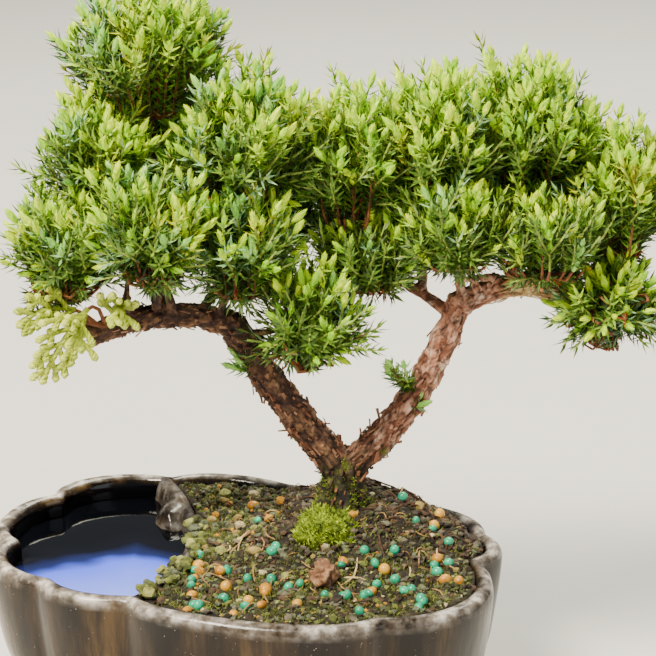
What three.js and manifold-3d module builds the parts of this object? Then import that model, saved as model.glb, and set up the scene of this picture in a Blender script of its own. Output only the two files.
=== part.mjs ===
// A juniper grown as a small bonsai in a glazed, lobed pot: two trunks in a V over a mound of soil,
// with a pool of water at the pot's left end behind a curved dividing wall.
// Millimetres, +Z up. The origin is the middle of the pot's flat underside, +X is to the right seen
// from the front, and +Y is to the back.
import * as THREE from "three";
import { mergeVertices } from "three/addons/utils/BufferGeometryUtils.js";
import Module from "manifold-3d";

const wasm = await Module();
wasm.setup();

const UP = new THREE.Vector3(0, 0, 1);
const CLEAR = 0.32; // gap left between pieces that touch
const LIFT = 0.42; // gap under what rests on the soil
const WIDE = 0.4; // gap where a sloping or rounded face would narrow it
const GRID = 0.002; // corners of joined solids are set to this
const FINEST = 0.03; // detail smaller than this is dropped where solids are joined or cut
const radians = THREE.MathUtils.degToRad;
const { lerp, clamp, smoothstep } = THREE.MathUtils;
const at = (x, y, z) => new THREE.Vector3(x, y, z);

// The pot: a long oval with squared shoulders, drawn in at pinches between its lobes.
const POT = { length: 240, width: 168, height: 80, turn: radians(-17), squareness: 2.4, sides: 60 };
const RIM_WIDTH = 10;
const POT_FLOOR = 12;
const PINCH_SPREAD = radians(8);
const PINCHES = [
  { angle: 6, depth: 0.12 },
  { angle: 30, depth: 0.06 },
  { angle: 60, depth: 0.06 },
  { angle: 90, depth: 0.11 },
  { angle: 120, depth: 0.1 },
  { angle: 162, depth: 0.08 },
  { angle: 198, depth: 0.1 },
  { angle: 234, depth: 0.06 },
  { angle: 258, depth: 0.12 },
  { angle: 312, depth: 0.06 },
];
// From the underside up to the rounded rim: height, how far in from the widest outline, and how
// strongly the pinches show there.
const POT_WALL = [
  { z: 0, inset: 29, pinch: 0.3 },
  { z: 14, inset: 16, pinch: 0.5 },
  { z: 36, inset: 6.5, pinch: 0.75 },
  { z: 60, inset: 1.8, pinch: 0.95 },
  { z: 75, inset: 0, pinch: 1 },
  { z: 79, inset: 1.6, pinch: 1 },
  { z: 80, inset: 4.5, pinch: 1 },
];

// The pool is a round basin cut by the pot's left end. A wall stands between it and the soil.
const POOL = { x: -150, y: 15, radius: 122, floor: 36, level: 70 };
const DIVIDER = { width: 8, top: 78, wave: 1.2 };
const ROCK = { spot: at(-35, 50, 69.5), reach: at(9, 15, 12), rough: 0.2, seed: 5 };

// The soil: nearly level at the rim, with a mound under the trunk.
const SOIL = { edge: 77, rise: 19.5, x: 52, y: 14, reachX: 54, reachY: 52, lump: 0.7 };
const SOIL_RINGS = [150, 150, 100, 74, 55, 41, 31, 23, 16];
const GROUND = { x: 43, y: 6, z: 96, radius: 16 };
const PEBBLES = { count: 10, size: 3.2, near: 26, far: 52 };
const STONE = { spot: at(34.5, -43, 83.6), reach: at(5.4, 4.8, 6.2), rough: 0.3, seed: 8 };
const MOSS = { spot: at(36, -13, 91), reach: at(11.5, 10, 9.5), rough: 0.28, seed: 3 };

// The trunk: a short flared foot that forks at once into two stubs.
const FOOT = { radius: 10, neck: 8.2, roots: 5, flare: 0.28, top: 114 };
const FORK = { spot: at(43.4, 6, 111), stub: 12.5, swell: 1.08 };

// The limbs. Each leaves its parent at a share of the parent's length and bends once on its way.
const LIMBS = {
  left_trunk: { bend: [12.6, 5, 150], to: [-5.5, 1, 182.7], thick: 7, thin: 6 },
  right_trunk: { bend: [80.6, 7, 147], to: [93.8, 9.8, 190], thick: 6.4, thin: 5.3 },
  left_arm: {
    parent: "left_trunk", along: 0.96, bend: [-27, -4, 194], to: [-65, -8, 178.4], thick: 5.3, thin: 4.2,
  },
  right_arm: {
    parent: "right_trunk", along: 0.96, bend: [118, 8, 204], to: [143, 5, 190.6], thick: 5.2, thin: 3.8,
  },
  leader: {
    parent: "left_arm", along: 0.5, bend: [-40, 5, 240], to: [-37, 8, 288], thick: 3.5, thin: 1.5,
  },
  arm_tip: {
    parent: "left_arm", along: 0.88, bend: [-80, -9, 182], to: [-88, -5, 200], thick: 2.3, thin: 1.4,
  },
  right_tip: {
    parent: "right_arm", along: 0.82, bend: [152, 5, 190], to: [163, 6, 202], thick: 2.3, thin: 1.4,
  },
  right_back: {
    parent: "right_trunk", along: 0.9, bend: [76, 20, 190], to: [62, 21, 199], thick: 2.8, thin: 1.7,
  },
};

// The masses of foliage: middle, reach, the limb that feeds it, how far along that limb, and how
// many shoots it has. Shoots turn up unless upright says otherwise.
const MASSES = {
  top: { spot: [-37, 8, 300], reach: [36, 27, 33], limb: "leader", along: 1, shoots: 14 },
  left_mid: { spot: [-57, -2, 258], reach: [26, 25, 28], limb: "leader", along: 0.42, shoots: 9 },
  mid_right: { spot: [0, -4, 264], reach: [37, 27, 34], limb: "leader", along: 0.52, shoots: 13 },
  left_low: { spot: [-71, -6, 220], reach: [26, 23, 25], limb: "arm_tip", along: 1, shoots: 8 },
  left_front: { spot: [-36, -28, 231], reach: [27, 21, 27], limb: "left_arm", along: 0.4, shoots: 9 },
  centre: { spot: [-1, -16, 222], reach: [27, 21, 27], limb: "left_arm", along: 0.12, shoots: 9 },
  low_centre: {
    spot: [27, -10, 188], reach: [29, 22, 27],
    limb: "left_trunk", along: 0.93, shoots: 10, upright: 0.6,
  },
  hanging: {
    spot: [-70, -20, 185], reach: [26, 16, 25],
    limb: "left_arm", along: 0.8, shoots: 7, upright: -0.8,
  },
  back_left: { spot: [-42, 44, 252], reach: [33, 25, 32], limb: "leader", along: 0.3, shoots: 9 },
  back_centre: { spot: [2, 40, 224], reach: [33, 24, 32], limb: "left_arm", along: 0.25, shoots: 9 },
  right_inner: { spot: [45, 6, 255], reach: [26, 25, 31], limb: "right_back", along: 1, shoots: 10 },
  right_inner_low: {
    spot: [55, 10, 214], reach: [25, 22, 22],
    limb: "right_back", along: 0.7, shoots: 8,
  },
  right_mid: { spot: [83, 2, 262], reach: [27, 27, 36], limb: "right_arm", along: 0.05, shoots: 12 },
  right_mid_low: { spot: [90, -13, 229], reach: [25, 21, 22], limb: "right_arm", along: 0.2, shoots: 8 },
  right_top: { spot: [122, 8, 266], reach: [29, 27, 36], limb: "right_arm", along: 0.45, shoots: 12 },
  right_low: { spot: [127, -15, 222], reach: [28, 21, 24], limb: "right_arm", along: 0.6, shoots: 9 },
  right_far: { spot: [157, 4, 240], reach: [26, 25, 35], limb: "right_tip", along: 0.6, shoots: 10 },
  right_far_low: {
    spot: [156, -10, 192], reach: [26, 20, 23],
    limb: "right_tip", along: 0.45, shoots: 6, upright: 0.1,
  },
  back_right: { spot: [80, 46, 238], reach: [35, 25, 34], limb: "right_back", along: 0.5, shoots: 9 },
  back_far: { spot: [128, 46, 236], reach: [33, 25, 32], limb: "right_arm", along: 0.7, shoots: 9 },
};

// How a shoot is made: a bare twig, then whorls of three leaves up to a plump tip.
const SHOOT = {
  step: 7.2, tip: 8.4, twig: 0.65, core: 1.35,
  leafOut: 5.9, leafAhead: 5.8, apart: 8, room: 5,
};
const WHORLS = [3, 2]; // a shoot has the first of these numbers of whorls that fits
const STEM = { thick: 1.3, thin: 0.7 };
const BOUGH = { shortest: 13, thickest: 2.4, tip: 1, sag: 0.12 };
const GOLDEN = Math.PI * (3 - Math.sqrt(5));
const UPRIGHT = 0.9; // how far shoots turn up from pointing straight out
const DROOP = 0.5; // how far below level the lowest shoots point
const LAYERS = [1, 0.86, 0.7, 0.52]; // shares of a mass's reach at which shoots are tried
const TRIES = 17; // directions tried in each layer
const SPRIGS = {
  sprig_right: { limb: "right_trunk", along: 0.42, aim: [-0.45, -0.6, 0.66], seed: 41 },
  sprig_front: { limb: "right_trunk", along: 0.3, aim: [0.75, -0.5, 0.43], seed: 42 },
  sprig_left: { limb: "left_trunk", along: 0.6, aim: [-0.8, -0.5, 0.3], seed: 43 },
};

const COLOURS = {
  glaze: { color: "#1b1613", roughness: 0.25, metalness: 0 },
  water: { color: "#3a4f86", roughness: 0.05, metalness: 0 },
  soil: { color: "#4a3b2d", roughness: 0.95, metalness: 0 },
  moss: { color: "#7d9b2b", roughness: 0.95, metalness: 0 },
  stone: { color: "#8c6a52", roughness: 0.85, metalness: 0 },
  bark: { color: "#6b4a35", roughness: 0.9, metalness: 0 },
  twig: { color: "#7a5238", roughness: 0.9, metalness: 0 },
};
const GREENS = ["#6f9a52", "#7fae55", "#5f8d55", "#8ab75e", "#6d9d68"];

// A seeded run of numbers from 0 to 1, the same on each run.
function dice(seed) {
  let state = seed >>> 0;
  return () => {
    state = (state + 0x6d2b79f5) >>> 0;
    let mixed = Math.imul(state ^ (state >>> 15), 1 | state);
    mixed = (mixed + Math.imul(mixed ^ (mixed >>> 7), 61 | mixed)) ^ mixed;
    return ((mixed ^ (mixed >>> 14)) >>> 0) / 4294967296;
  };
}

// A solid from a closed geometry, its corners set on a grid when one is given.
function solid(geometry, grid = 0) {
  const bare = geometry.clone();
  bare.deleteAttribute("normal");
  bare.deleteAttribute("uv");
  if (grid) {
    const spots = bare.getAttribute("position");
    for (let i = 0; i < spots.array.length; i++) {
      spots.array[i] = Math.round(spots.array[i] / grid) * grid;
    }
  }
  const merged = mergeVertices(bare, 1e-4);
  const mesh = new wasm.Mesh({
    numProp: 3,
    vertProperties: merged.getAttribute("position").array,
    triVerts: new Uint32Array(merged.index.array),
  });
  return new wasm.Manifold(mesh);
}

function geometryOf(made) {
  const mesh = made.getMesh();
  const geometry = new THREE.BufferGeometry();
  const spots = new THREE.BufferAttribute(new Float32Array(mesh.vertProperties), 3);
  geometry.setAttribute("position", spots);
  geometry.setIndex(new THREE.BufferAttribute(new Uint32Array(mesh.triVerts), 1));
  geometry.computeVertexNormals();
  return geometry;
}

// Draws apart corners that meet at one spot without being joined there, so the skin never pinches.
function unpinched(geometry) {
  const spots = geometry.getAttribute("position");
  const index = geometry.index.array;
  const spot = (i) => new THREE.Vector3().fromBufferAttribute(spots, i);
  const shared = new Map();
  for (let i = 0; i < spots.count; i++) {
    const key = spot(i).toArray().join();
    shared.set(key, [...(shared.get(key) ?? []), i]);
  }
  for (const corners of shared.values()) {
    for (const corner of corners.length > 1 ? corners : []) {
      const pull = at(0, 0, 0);
      index.forEach((other, i) => {
        if (other === corner) {
          const first = i - (i % 3);
          pull.add(spot(index[first])).add(spot(index[first + 1])).add(spot(index[first + 2]));
          pull.addScaledVector(spot(corner), -3);
        }
      });
      const moved = spot(corner).addScaledVector(pull.normalize(), 4 * GRID);
      spots.setXYZ(corner, moved.x, moved.y, moved.z);
    }
  }
  return geometry;
}

// True where more than two faces meet along one edge.
function hasCrowdedEdge(made) {
  const { vertProperties: spots, triVerts } = made.getMesh();
  const key = (i) => [0, 1, 2].map((k) => Math.round(spots[3 * i + k] * 1000)).join();
  const meets = new Map();
  for (let i = 0; i < triVerts.length; i++) {
    const next = i % 3 === 2 ? i - 2 : i + 1;
    const edge = [key(triVerts[i]), key(triVerts[next])].sort().join("/");
    meets.set(edge, (meets.get(edge) ?? 0) + 1);
  }
  return [...meets.values()].some((faces) => faces > 2);
}

// The largest body of a solid, without crumbs cut off it or hollows sealed in it. Where faces crowd
// along an edge, slightly larger details are dropped.
function wholeBody(made) {
  let body = made;
  for (const finest of [FINEST, 0.06, 0.1, 0.15, 0.2]) {
    body = made.simplify(finest);
    for (let pass = 0; pass < 4; pass++) {
      const bodies = solid(unpinched(geometryOf(body)), GRID).decompose();
      body = bodies.sort((a, b) => b.volume() - a.volume())[0];
    }
    if (!hasCrowdedEdge(body)) {
      return body;
    }
  }
  return body;
}

// A closed round form. place(angle, step, out) puts the points of a cylinder: step counts the
// rings from the bottom up, and out is 1 on the skin and 0 in the middle of each end.
function roundForm(sides, rings, place) {
  const geometry = new THREE.CylinderGeometry(1, 1, 1, sides, rings);
  const spots = geometry.getAttribute("position");
  for (let i = 0; i < spots.count; i++) {
    const out = Math.hypot(spots.getX(i), spots.getZ(i)) > 0.5 ? 1 : 0;
    const angle = Math.atan2(spots.getX(i), spots.getZ(i));
    const step = Math.round((spots.getY(i) + 0.5) * rings);
    const spot = place(angle, step, out);
    spots.setXYZ(i, spot.x, spot.y, spot.z);
  }
  return solid(geometry);
}

// The pot's outline at one angle, drawn in by inset, as a point at height z.
function outline(angle, inset, pinch, z) {
  const stretch = (v) => Math.sign(v) * Math.abs(v) ** (2 / POT.squareness);
  const x = stretch(Math.cos(angle)) * (POT.length / 2 - inset);
  const y = stretch(Math.sin(angle)) * (POT.width / 2 - inset);
  let drawn = 1;
  for (const { angle: degrees, depth } of PINCHES) {
    const away = angle - radians(degrees);
    const apart = Math.abs(Math.atan2(Math.sin(away), Math.cos(away)));
    drawn -= pinch * depth * Math.exp(-apart / PINCH_SPREAD);
  }
  return at(x * drawn, y * drawn, z).applyAxisAngle(UP, POT.turn);
}

// A form that follows the pot's outline through rings of height, inset and pinch.
function lobed(rings) {
  return roundForm(POT.sides, rings.length - 1, (angle, step, out) => {
    const { z, inset, pinch } = rings[step];
    return out === 0 ? at(0, 0, z) : outline(angle, inset, pinch, z);
  });
}

// The pot's hollow from a floor up, shrunk by a gap.
function hollow(floor, top, gap) {
  return lobed([
    { z: floor + gap, inset: RIM_WIDTH + 15 + gap, pinch: 0.5 },
    { z: floor + 14, inset: RIM_WIDTH + 5 + gap, pinch: 0.6 },
    { z: POT.height - 16, inset: RIM_WIDTH + gap, pinch: 0.8 },
    { z: top, inset: RIM_WIDTH + gap, pinch: 0.8 },
  ]);
}

// An upright drum round the middle of the pool, with a wavy lower end when wave is given.
function drum(radius, low, high, wave = 0) {
  return roundForm(48, 1, (angle, step, out) => {
    const x = POOL.x + out * radius * Math.cos(angle);
    const y = POOL.y + out * radius * Math.sin(angle);
    return at(x, y, step === 0 ? low + wave * Math.sin(15 * angle + 1) : high);
  });
}

// A rough ball: a sphere of flat faces pushed in and out by seeded amounts.
function roughBall({ spot, reach, rough, seed }, detail, grow = 0) {
  const roll = dice(seed);
  const bare = new THREE.IcosahedronGeometry(1, detail);
  bare.deleteAttribute("normal");
  bare.deleteAttribute("uv");
  const ball = mergeVertices(bare, 1e-3);
  const spots = ball.getAttribute("position");
  for (let i = 0; i < spots.count; i++) {
    const push = 1 + rough * (roll() - 0.5);
    spots.setXYZ(i, spots.getX(i) * push, spots.getY(i) * push, spots.getZ(i) * push);
  }
  ball.scale(reach.x + grow, reach.y + grow, reach.z + grow);
  ball.translate(spot.x, spot.y, spot.z);
  return solid(ball);
}

function makePot() {
  const across = POOL.radius + DIVIDER.width;
  const basin = hollow(POOL.floor, 100, 0).intersect(drum(POOL.radius, 0, 120));
  const bed = hollow(POT_FLOOR, 100, 0).subtract(drum(across, 0, 120));
  const notch = [
    { z: 70, inset: RIM_WIDTH - 0.6, pinch: 0.8 },
    { z: 100, inset: RIM_WIDTH - 0.6, pinch: 0.8 },
  ];
  const above = drum(across + 1, DIVIDER.top, 120, DIVIDER.wave);
  const overDivider = above.subtract(drum(POOL.radius - 1, 0, 130)).intersect(lobed(notch));
  const pot = lobed(POT_WALL).subtract(basin).subtract(bed).subtract(overDivider);
  return wholeBody(pot.add(roughBall(ROCK, 1)));
}

function makeWater() {
  const basin = hollow(POOL.floor, POOL.level, WIDE).intersect(drum(POOL.radius - CLEAR, 0, 120));
  return wholeBody(basin.subtract(roughBall(ROCK, 1, WIDE)));
}

function soilHeight(x, y) {
  const away = ((x - SOIL.x) / SOIL.reachX) ** 2 + ((y - SOIL.y) / SOIL.reachY) ** 2;
  const lumps = SOIL.lump * (Math.sin(x * 0.37) + Math.cos(y * 0.41 + x * 0.13));
  const mound = SOIL.edge + SOIL.rise * Math.exp(-1.5 * away ** 1.4) + lumps;
  const apart = Math.hypot(x - GROUND.x, y - GROUND.y);
  return lerp(GROUND.z, mound, smoothstep(apart, GROUND.radius, GROUND.radius + 9));
}

// The soil before it is fitted to the pot, lifted by a gap for cutting what rests on it.
function soilDome(lift) {
  return roundForm(24, SOIL_RINGS.length - 1, (angle, step, out) => {
    const radius = out * SOIL_RINGS[step];
    const x = GROUND.x + radius * Math.cos(angle);
    const y = GROUND.y + radius * Math.sin(angle);
    return at(x, y, step === 0 ? 0 : soilHeight(x, y) + lift);
  });
}

function makeSoil() {
  const roll = dice(17);
  let soil = soilDome(0);
  for (let i = 0; i < PEBBLES.count; i++) {
    const angle = -2.9 + (2.8 * i) / PEBBLES.count + 0.2 * roll();
    const apart = lerp(PEBBLES.near, PEBBLES.far, roll());
    const spot = at(GROUND.x + apart * Math.cos(angle), GROUND.y + 0.85 * apart * Math.sin(angle), 0);
    spot.z = soilHeight(spot.x, spot.y) + 0.6;
    if ([MOSS, STONE].some((other) => Math.hypot(spot.x - other.spot.x, spot.y - other.spot.y) < 20)) {
      continue;
    }
    const size = PEBBLES.size * (0.8 + 0.5 * roll());
    soil = soil.add(roughBall({ spot, reach: at(size, size, size * 0.8), rough: 0.3, seed: i }, 0));
  }
  soil = soil.intersect(hollow(POT_FLOOR, 130, WIDE));
  soil = soil.subtract(drum(POOL.radius + DIVIDER.width + CLEAR, 0, 130));
  return wholeBody(soil.subtract(roughBall(ROCK, 1, WIDE)));
}

// A limb: a tapering, slightly knobbly rod along a curve, cut flat at both ends.
function rod(curve, thick, thin, { sides = 8, rings = 8, knob = 0.08, seed = 1, grow = 0 } = {}) {
  const roll = dice(seed);
  const knobs = Array.from({ length: sides * (rings + 1) }, () => 1 + knob * (2 * roll() - 1));
  const frames = curve.computeFrenetFrames(rings);
  return roundForm(sides, rings, (angle, step, out) => {
    const side = (Math.round((angle / (2 * Math.PI)) * sides) + sides) % sides;
    const radius = out * (lerp(thick, thin, step / rings) * knobs[step * sides + side] + grow);
    const past = step === 0 ? -grow : step === rings ? grow : 0;
    return curve
      .getPointAt(step / rings)
      .addScaledVector(frames.tangents[step], past)
      .addScaledVector(frames.normals[step], radius * Math.cos(angle))
      .addScaledVector(frames.binormals[step], radius * Math.sin(angle));
  });
}

const bent = (from, bend, to) => new THREE.QuadraticBezierCurve3(from, bend, to);

// Every limb and bough by name: its curve, its thickness and how finely it is made.
const grown = {};
for (const [name, { parent, along, bend, to, thick, thin }] of Object.entries(LIMBS)) {
  const aim = at(...bend).sub(FORK.spot).normalize();
  const fork = FORK.spot.clone().addScaledVector(aim, FORK.stub + CLEAR);
  const from = parent ? grown[parent].curve.getPointAt(along) : fork;
  const main = thick > 4;
  const make = { sides: main ? 8 : 6, rings: main ? 8 : 6, seed: name.length + thick * 10 };
  grown[name] = { curve: bent(from, at(...bend), at(...to)), thick, thin, make, parent };
}

// A bough leaves its limb near level and turns up towards the mass it feeds, ending inside it. A
// mass close to its limb has no bough.
for (const [name, { spot, reach, limb, along }] of Object.entries(MASSES)) {
  const from = grown[limb].curve.getPointAt(along);
  const middle = at(...spot);
  const away = from.distanceTo(middle);
  const inside = 0.5 * Math.max(...reach);
  if (along === 1 || away - inside < BOUGH.shortest) {
    continue;
  }
  const to = middle.clone().lerp(from, inside / away);
  to.z -= 0.15 * reach[2];
  const bend = from.clone().lerp(to, 0.5);
  bend.z -= BOUGH.sag * from.distanceTo(to);
  const thick = Math.min(BOUGH.thickest, 1.3 + 0.018 * away);
  const make = { sides: 5, rings: 4, seed: name.length * 7 + away };
  grown[`bough_${name}`] = { curve: bent(from, bend, to), thick, thin: BOUGH.tip, make, parent: limb };
}

function shape({ curve, thick, thin, make }, grow = 0) {
  return rod(curve, thick, thin, { ...make, grow });
}

function makeTrunk(grow = 0) {
  let trunk = roundForm(15, 4, (angle, step, out) => {
    const rise = step / 4;
    const roots = 1 + 0.8 * Math.cos(FOOT.roots * angle + 0.5);
    const flare = 1 + FOOT.flare * (1 - rise) ** 3 * roots;
    const radius = lerp(FOOT.radius, FOOT.neck, Math.min(1, rise * 1.5)) * flare;
    const z = lerp(GROUND.z + CLEAR - grow, FOOT.top, rise);
    const spread = out * (radius + grow);
    return at(GROUND.x + spread * Math.cos(angle), GROUND.y + spread * Math.sin(angle), z);
  });
  for (const name of ["left_trunk", "right_trunk"]) {
    const aim = at(...LIMBS[name].bend).sub(FORK.spot).normalize();
    const end = FORK.spot.clone().addScaledVector(aim, FORK.stub);
    const thin = LIMBS[name].thick;
    const make = { rings: 2, knob: 0.04, seed: 9, grow };
    trunk = trunk.add(rod(new THREE.LineCurve3(FORK.spot, end), thin * FORK.swell, thin, make));
  }
  return trunk;
}

function makeLimb(name) {
  const { parent } = grown[name];
  const made = shape(grown[name]);
  return wholeBody(parent ? made.subtract(shape(grown[parent], WIDE)) : made);
}

// True where a spot is in a mass's own space: nearer to it than to any other, by size.
function inOwnSpace(name, spot) {
  const own = MASSES[name];
  for (const [other, { spot: middle, reach }] of Object.entries(MASSES)) {
    if (other === name) {
      continue;
    }
    const mine = spot.distanceToSquared(at(...own.spot)) - size(own.reach) ** 2;
    const theirs = spot.distanceToSquared(at(...middle)) - size(reach) ** 2;
    if (mine > theirs - 2 * CLEAR * at(...own.spot).distanceTo(at(...middle))) {
      return false;
    }
  }
  return true;
}

function size(reach) {
  return (reach[0] + reach[1] + reach[2]) / 3;
}

// The stem of each mass. It goes on from the tip of its bough, or from the side of its limb.
const stems = {};
for (const [name, { spot, reach, limb, along }] of Object.entries(MASSES)) {
  const feeder = grown[`bough_${name}`] ?? grown[limb];
  const fromTip = along === 1 || feeder !== grown[limb];
  const middle = at(...spot);
  const share = fromTip ? 1 : along;
  const from = feeder.curve.getPointAt(share);
  const aim = fromTip ? feeder.curve.getTangentAt(1) : middle.clone().sub(from).normalize();
  if (fromTip) {
    from.addScaledVector(aim, CLEAR);
  }
  const to = middle.addScaledVector(UP, 0.2 * reach[2]);
  const bend = from.clone().addScaledVector(aim, 0.4 * from.distanceTo(to));
  const make = { sides: 5, rings: 2, knob: 0 };
  stems[name] = { curve: bent(from, bend, to), make, parent: fromTip ? null : limb };
}

// Everything a mass's shoots must not touch: every limb, and the stems of the other masses.
function keptClear(name) {
  const limbs = Object.values(grown).map((limb) => shape(limb, WIDE));
  for (const [other, { curve, make }] of Object.entries(stems)) {
    if (other !== name) {
      limbs.push(rod(curve, STEM.thick, STEM.thin, { ...make, grow: WIDE }));
    }
  }
  return wasm.Manifold.union(limbs);
}

// The corners of a shoot: rings of three round a bent twig, each turned a sixth on from the last.
function shootRings(foot, start, grow, turn, whorls) {
  const side = Math.abs(grow.z) < 0.9 ? UP : at(1, 0, 0);
  const across = new THREE.Vector3().crossVectors(side, grow).normalize();
  const over = new THREE.Vector3().crossVectors(grow, across);
  const rings = [{ middle: foot, radius: SHOOT.twig }];
  for (let i = 0; i <= whorls; i++) {
    const middle = start.clone().addScaledVector(grow, i * SHOOT.step);
    rings.push({ middle, radius: i === 0 ? 0.8 : SHOOT.core });
  }
  return rings.map(({ middle, radius }, k) =>
    [0, 1, 2].map((i) => {
      const angle = turn + k * (Math.PI / 3) + i * ((2 * Math.PI) / 3);
      return middle
        .clone()
        .addScaledVector(across, radius * Math.cos(angle))
        .addScaledVector(over, radius * Math.sin(angle));
    }),
  );
}

// The faces of a shoot as triangles of spots. Each whorl raises three pointed leaves, less those
// whose points are not free.
function shootFaces(foot, start, grow, turn, whorls, free = () => true) {
  const rings = shootRings(foot, start, grow, turn, whorls);
  const faces = [[rings[0][2], rings[0][1], rings[0][0]]];
  for (let k = 0; k + 1 < rings.length; k++) {
    const axis = start.clone().addScaledVector(grow, (k - 0.5) * SHOOT.step);
    for (let i = 0; i < 3; i++) {
      const a = rings[k][i];
      const next = rings[k][(i + 1) % 3];
      const b = rings[k + 1][i];
      faces.push([b, next, rings[k + 1][(i + 1) % 3]]);
      const middle = a.clone().add(next).add(b).divideScalar(3);
      const out = middle.clone().sub(axis);
      out.addScaledVector(grow, -out.dot(grow)).normalize();
      const point = middle.addScaledVector(out, SHOOT.leafOut).addScaledVector(grow, SHOOT.leafAhead);
      if (k > 0 && free(point)) {
        faces.push([a, next, point], [next, b, point], [b, a, point]);
      } else {
        faces.push([a, next, b]);
      }
    }
  }
  const last = rings[rings.length - 1];
  const tip = start.clone().addScaledVector(grow, whorls * SHOOT.step + SHOOT.tip);
  for (let i = 0; i < 3; i++) {
    faces.push([last[i], last[(i + 1) % 3], tip]);
  }
  return faces;
}

function solidOfFaces(faces) {
  const geometry = new THREE.BufferGeometry().setFromPoints(faces.flat());
  geometry.setIndex(faces.flat().map((spot, i) => i));
  return solid(geometry);
}

// True where a spot is less than room away from any of the others.
function near(spot, others, room) {
  return others.some((other) => spot.distanceTo(other) <= room);
}

// Where on a stem a twig leaves to reach a spot: a little lower than the spot itself.
function footShare(stem, spot, lowest) {
  const low = stem.getPoint(0);
  const high = stem.getPoint(1);
  const apart = Math.hypot(spot.x - high.x, spot.y - high.y);
  return clamp((spot.z - 0.45 * apart - low.z) / Math.max(high.z - low.z, 1), lowest, 0.96);
}

// Shoots for one mass, tried from the outside in at directions spread by the golden angle. One that
// would leave the mass's space, touch a limb or crowd another shoot is left out.
function shootsOf(name) {
  const { curve: stem, parent } = stems[name];
  const lowest = parent ? 0.32 : 0.12;
  const { spot, reach, shoots, upright = UPRIGHT } = MASSES[name];
  const roll = dice(name.length * 31 + shoots);
  const others = keptClear(name);
  const made = [];
  const spines = [];
  const stemSpots = stem.getPoints(6);
  for (let k = 0; k < LAYERS.length * TRIES && made.length < shoots; k++) {
    const far = LAYERS[Math.floor(k / TRIES)];
    const lean = 1 - (((k % TRIES) + 0.5) / TRIES) * (1 + DROOP);
    const rise = upright < 0 ? -lean : lean;
    const angle = k * GOLDEN + 0.7 * roll();
    const level = Math.sqrt(1 - rise * rise);
    const out = at(level * Math.cos(angle), level * Math.sin(angle), rise);
    const grow = out.clone().addScaledVector(UP, upright).normalize();
    const tip = at(...spot).add(out.multiply(at(...reach)).multiplyScalar(far));
    const turn = 6.28 * roll();
    for (const whorls of WHORLS) {
      const start = tip.clone().addScaledVector(grow, -whorls * SHOOT.step - SHOOT.tip);
      const steps = Array.from({ length: 2 * whorls + 3 }, (_, i) => (i / 2) * SHOOT.step);
      const spine = steps.map((step) => start.clone().addScaledVector(grow, step));
      const free = (point) => !near(point, [...spines, ...stemSpots], SHOOT.room);
      const foot = stem.getPoint(footShare(stem, start, lowest));
      const faces = shootFaces(foot, start, grow, turn, whorls, free);
      const crowded = spine
        .slice(3)
        .some((place) => near(place, spines, SHOOT.apart) || near(place, stemSpots, SHOOT.room));
      const astray = !faces.flat().every((corner) => inOwnSpace(name, corner));
      if (crowded || astray || !solidOfFaces(faces).intersect(others).isEmpty()) {
        continue;
      }
      made.push(faces);
      spines.push(...spine);
      break;
    }
  }
  return made;
}

function makeMass(name) {
  const { curve, make, parent } = stems[name];
  let mass = rod(curve, STEM.thick, STEM.thin, make);
  if (parent) {
    mass = mass.subtract(shape(grown[parent], WIDE));
  }
  for (const faces of shootsOf(name)) {
    mass = mass.add(solidOfFaces(faces));
  }
  return wholeBody(mass);
}

function makeSprig({ limb, along, aim, seed }) {
  const roll = dice(seed);
  const foot = grown[limb].curve.getPointAt(along);
  const away = lerp(grown[limb].thick, grown[limb].thin, along) + 3;
  let sprig = null;
  for (let i = 0; i < 2; i++) {
    const out = at(...aim).normalize();
    const spread = at(roll() - 0.5, roll() - 0.5, roll() - 0.3).normalize().multiplyScalar(0.9 * i);
    const grow = out.clone().add(spread).normalize();
    const start = foot.clone().addScaledVector(out, away - 0.5 * i);
    const made = solidOfFaces(shootFaces(foot, start, grow, 6.28 * roll(), 2 - i));
    sprig = sprig ? sprig.add(made) : made;
  }
  return wholeBody(sprig.subtract(shape(grown[limb], WIDE)));
}

const group = new THREE.Group();
group.name = "potted_juniper";

function add(name, made, look) {
  const material = new THREE.MeshStandardMaterial(look);
  const mesh = new THREE.Mesh(unpinched(geometryOf(made)), material);
  mesh.name = name;
  group.add(mesh);
}

add("pot", makePot(), COLOURS.glaze);
add("water", makeWater(), COLOURS.water);
add("soil", makeSoil(), COLOURS.soil);
const tuft = roughBall(MOSS, 1).subtract(soilDome(LIFT)).subtract(makeTrunk(CLEAR));
add("moss", wholeBody(tuft), COLOURS.moss);
add("stone", wholeBody(roughBall(STONE, 1).subtract(soilDome(LIFT))), COLOURS.stone);
add("trunk", makeTrunk(), COLOURS.bark);
for (const name of Object.keys(grown)) {
  add(name, makeLimb(name), name.startsWith("bough") ? COLOURS.twig : COLOURS.bark);
}
Object.keys(MASSES).forEach((name, i) => {
  const color = GREENS[i % GREENS.length];
  add(`foliage_${name}`, makeMass(name), { color, roughness: 0.7, metalness: 0 });
});

for (const [name, sprig] of Object.entries(SPRIGS)) {
  add(name, makeSprig(sprig), { color: GREENS[1], roughness: 0.7, metalness: 0 });
}

export default group;
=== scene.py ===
# %% [markdown]
# A young juniper grown as a small bonsai stands in a dark glazed pot with a pool at its left end.
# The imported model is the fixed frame: its pieces give every place and size, in metres, and each piece
# made below stands where the CAD solid it replaces stands. Making the looks round a frame, instead of
# fitting them afterwards, is what keeps the pot, the limbs and the crown in step.

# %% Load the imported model
import math

import bmesh
import bpy
import numpy as np
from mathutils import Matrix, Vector, kdtree, noise


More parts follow.
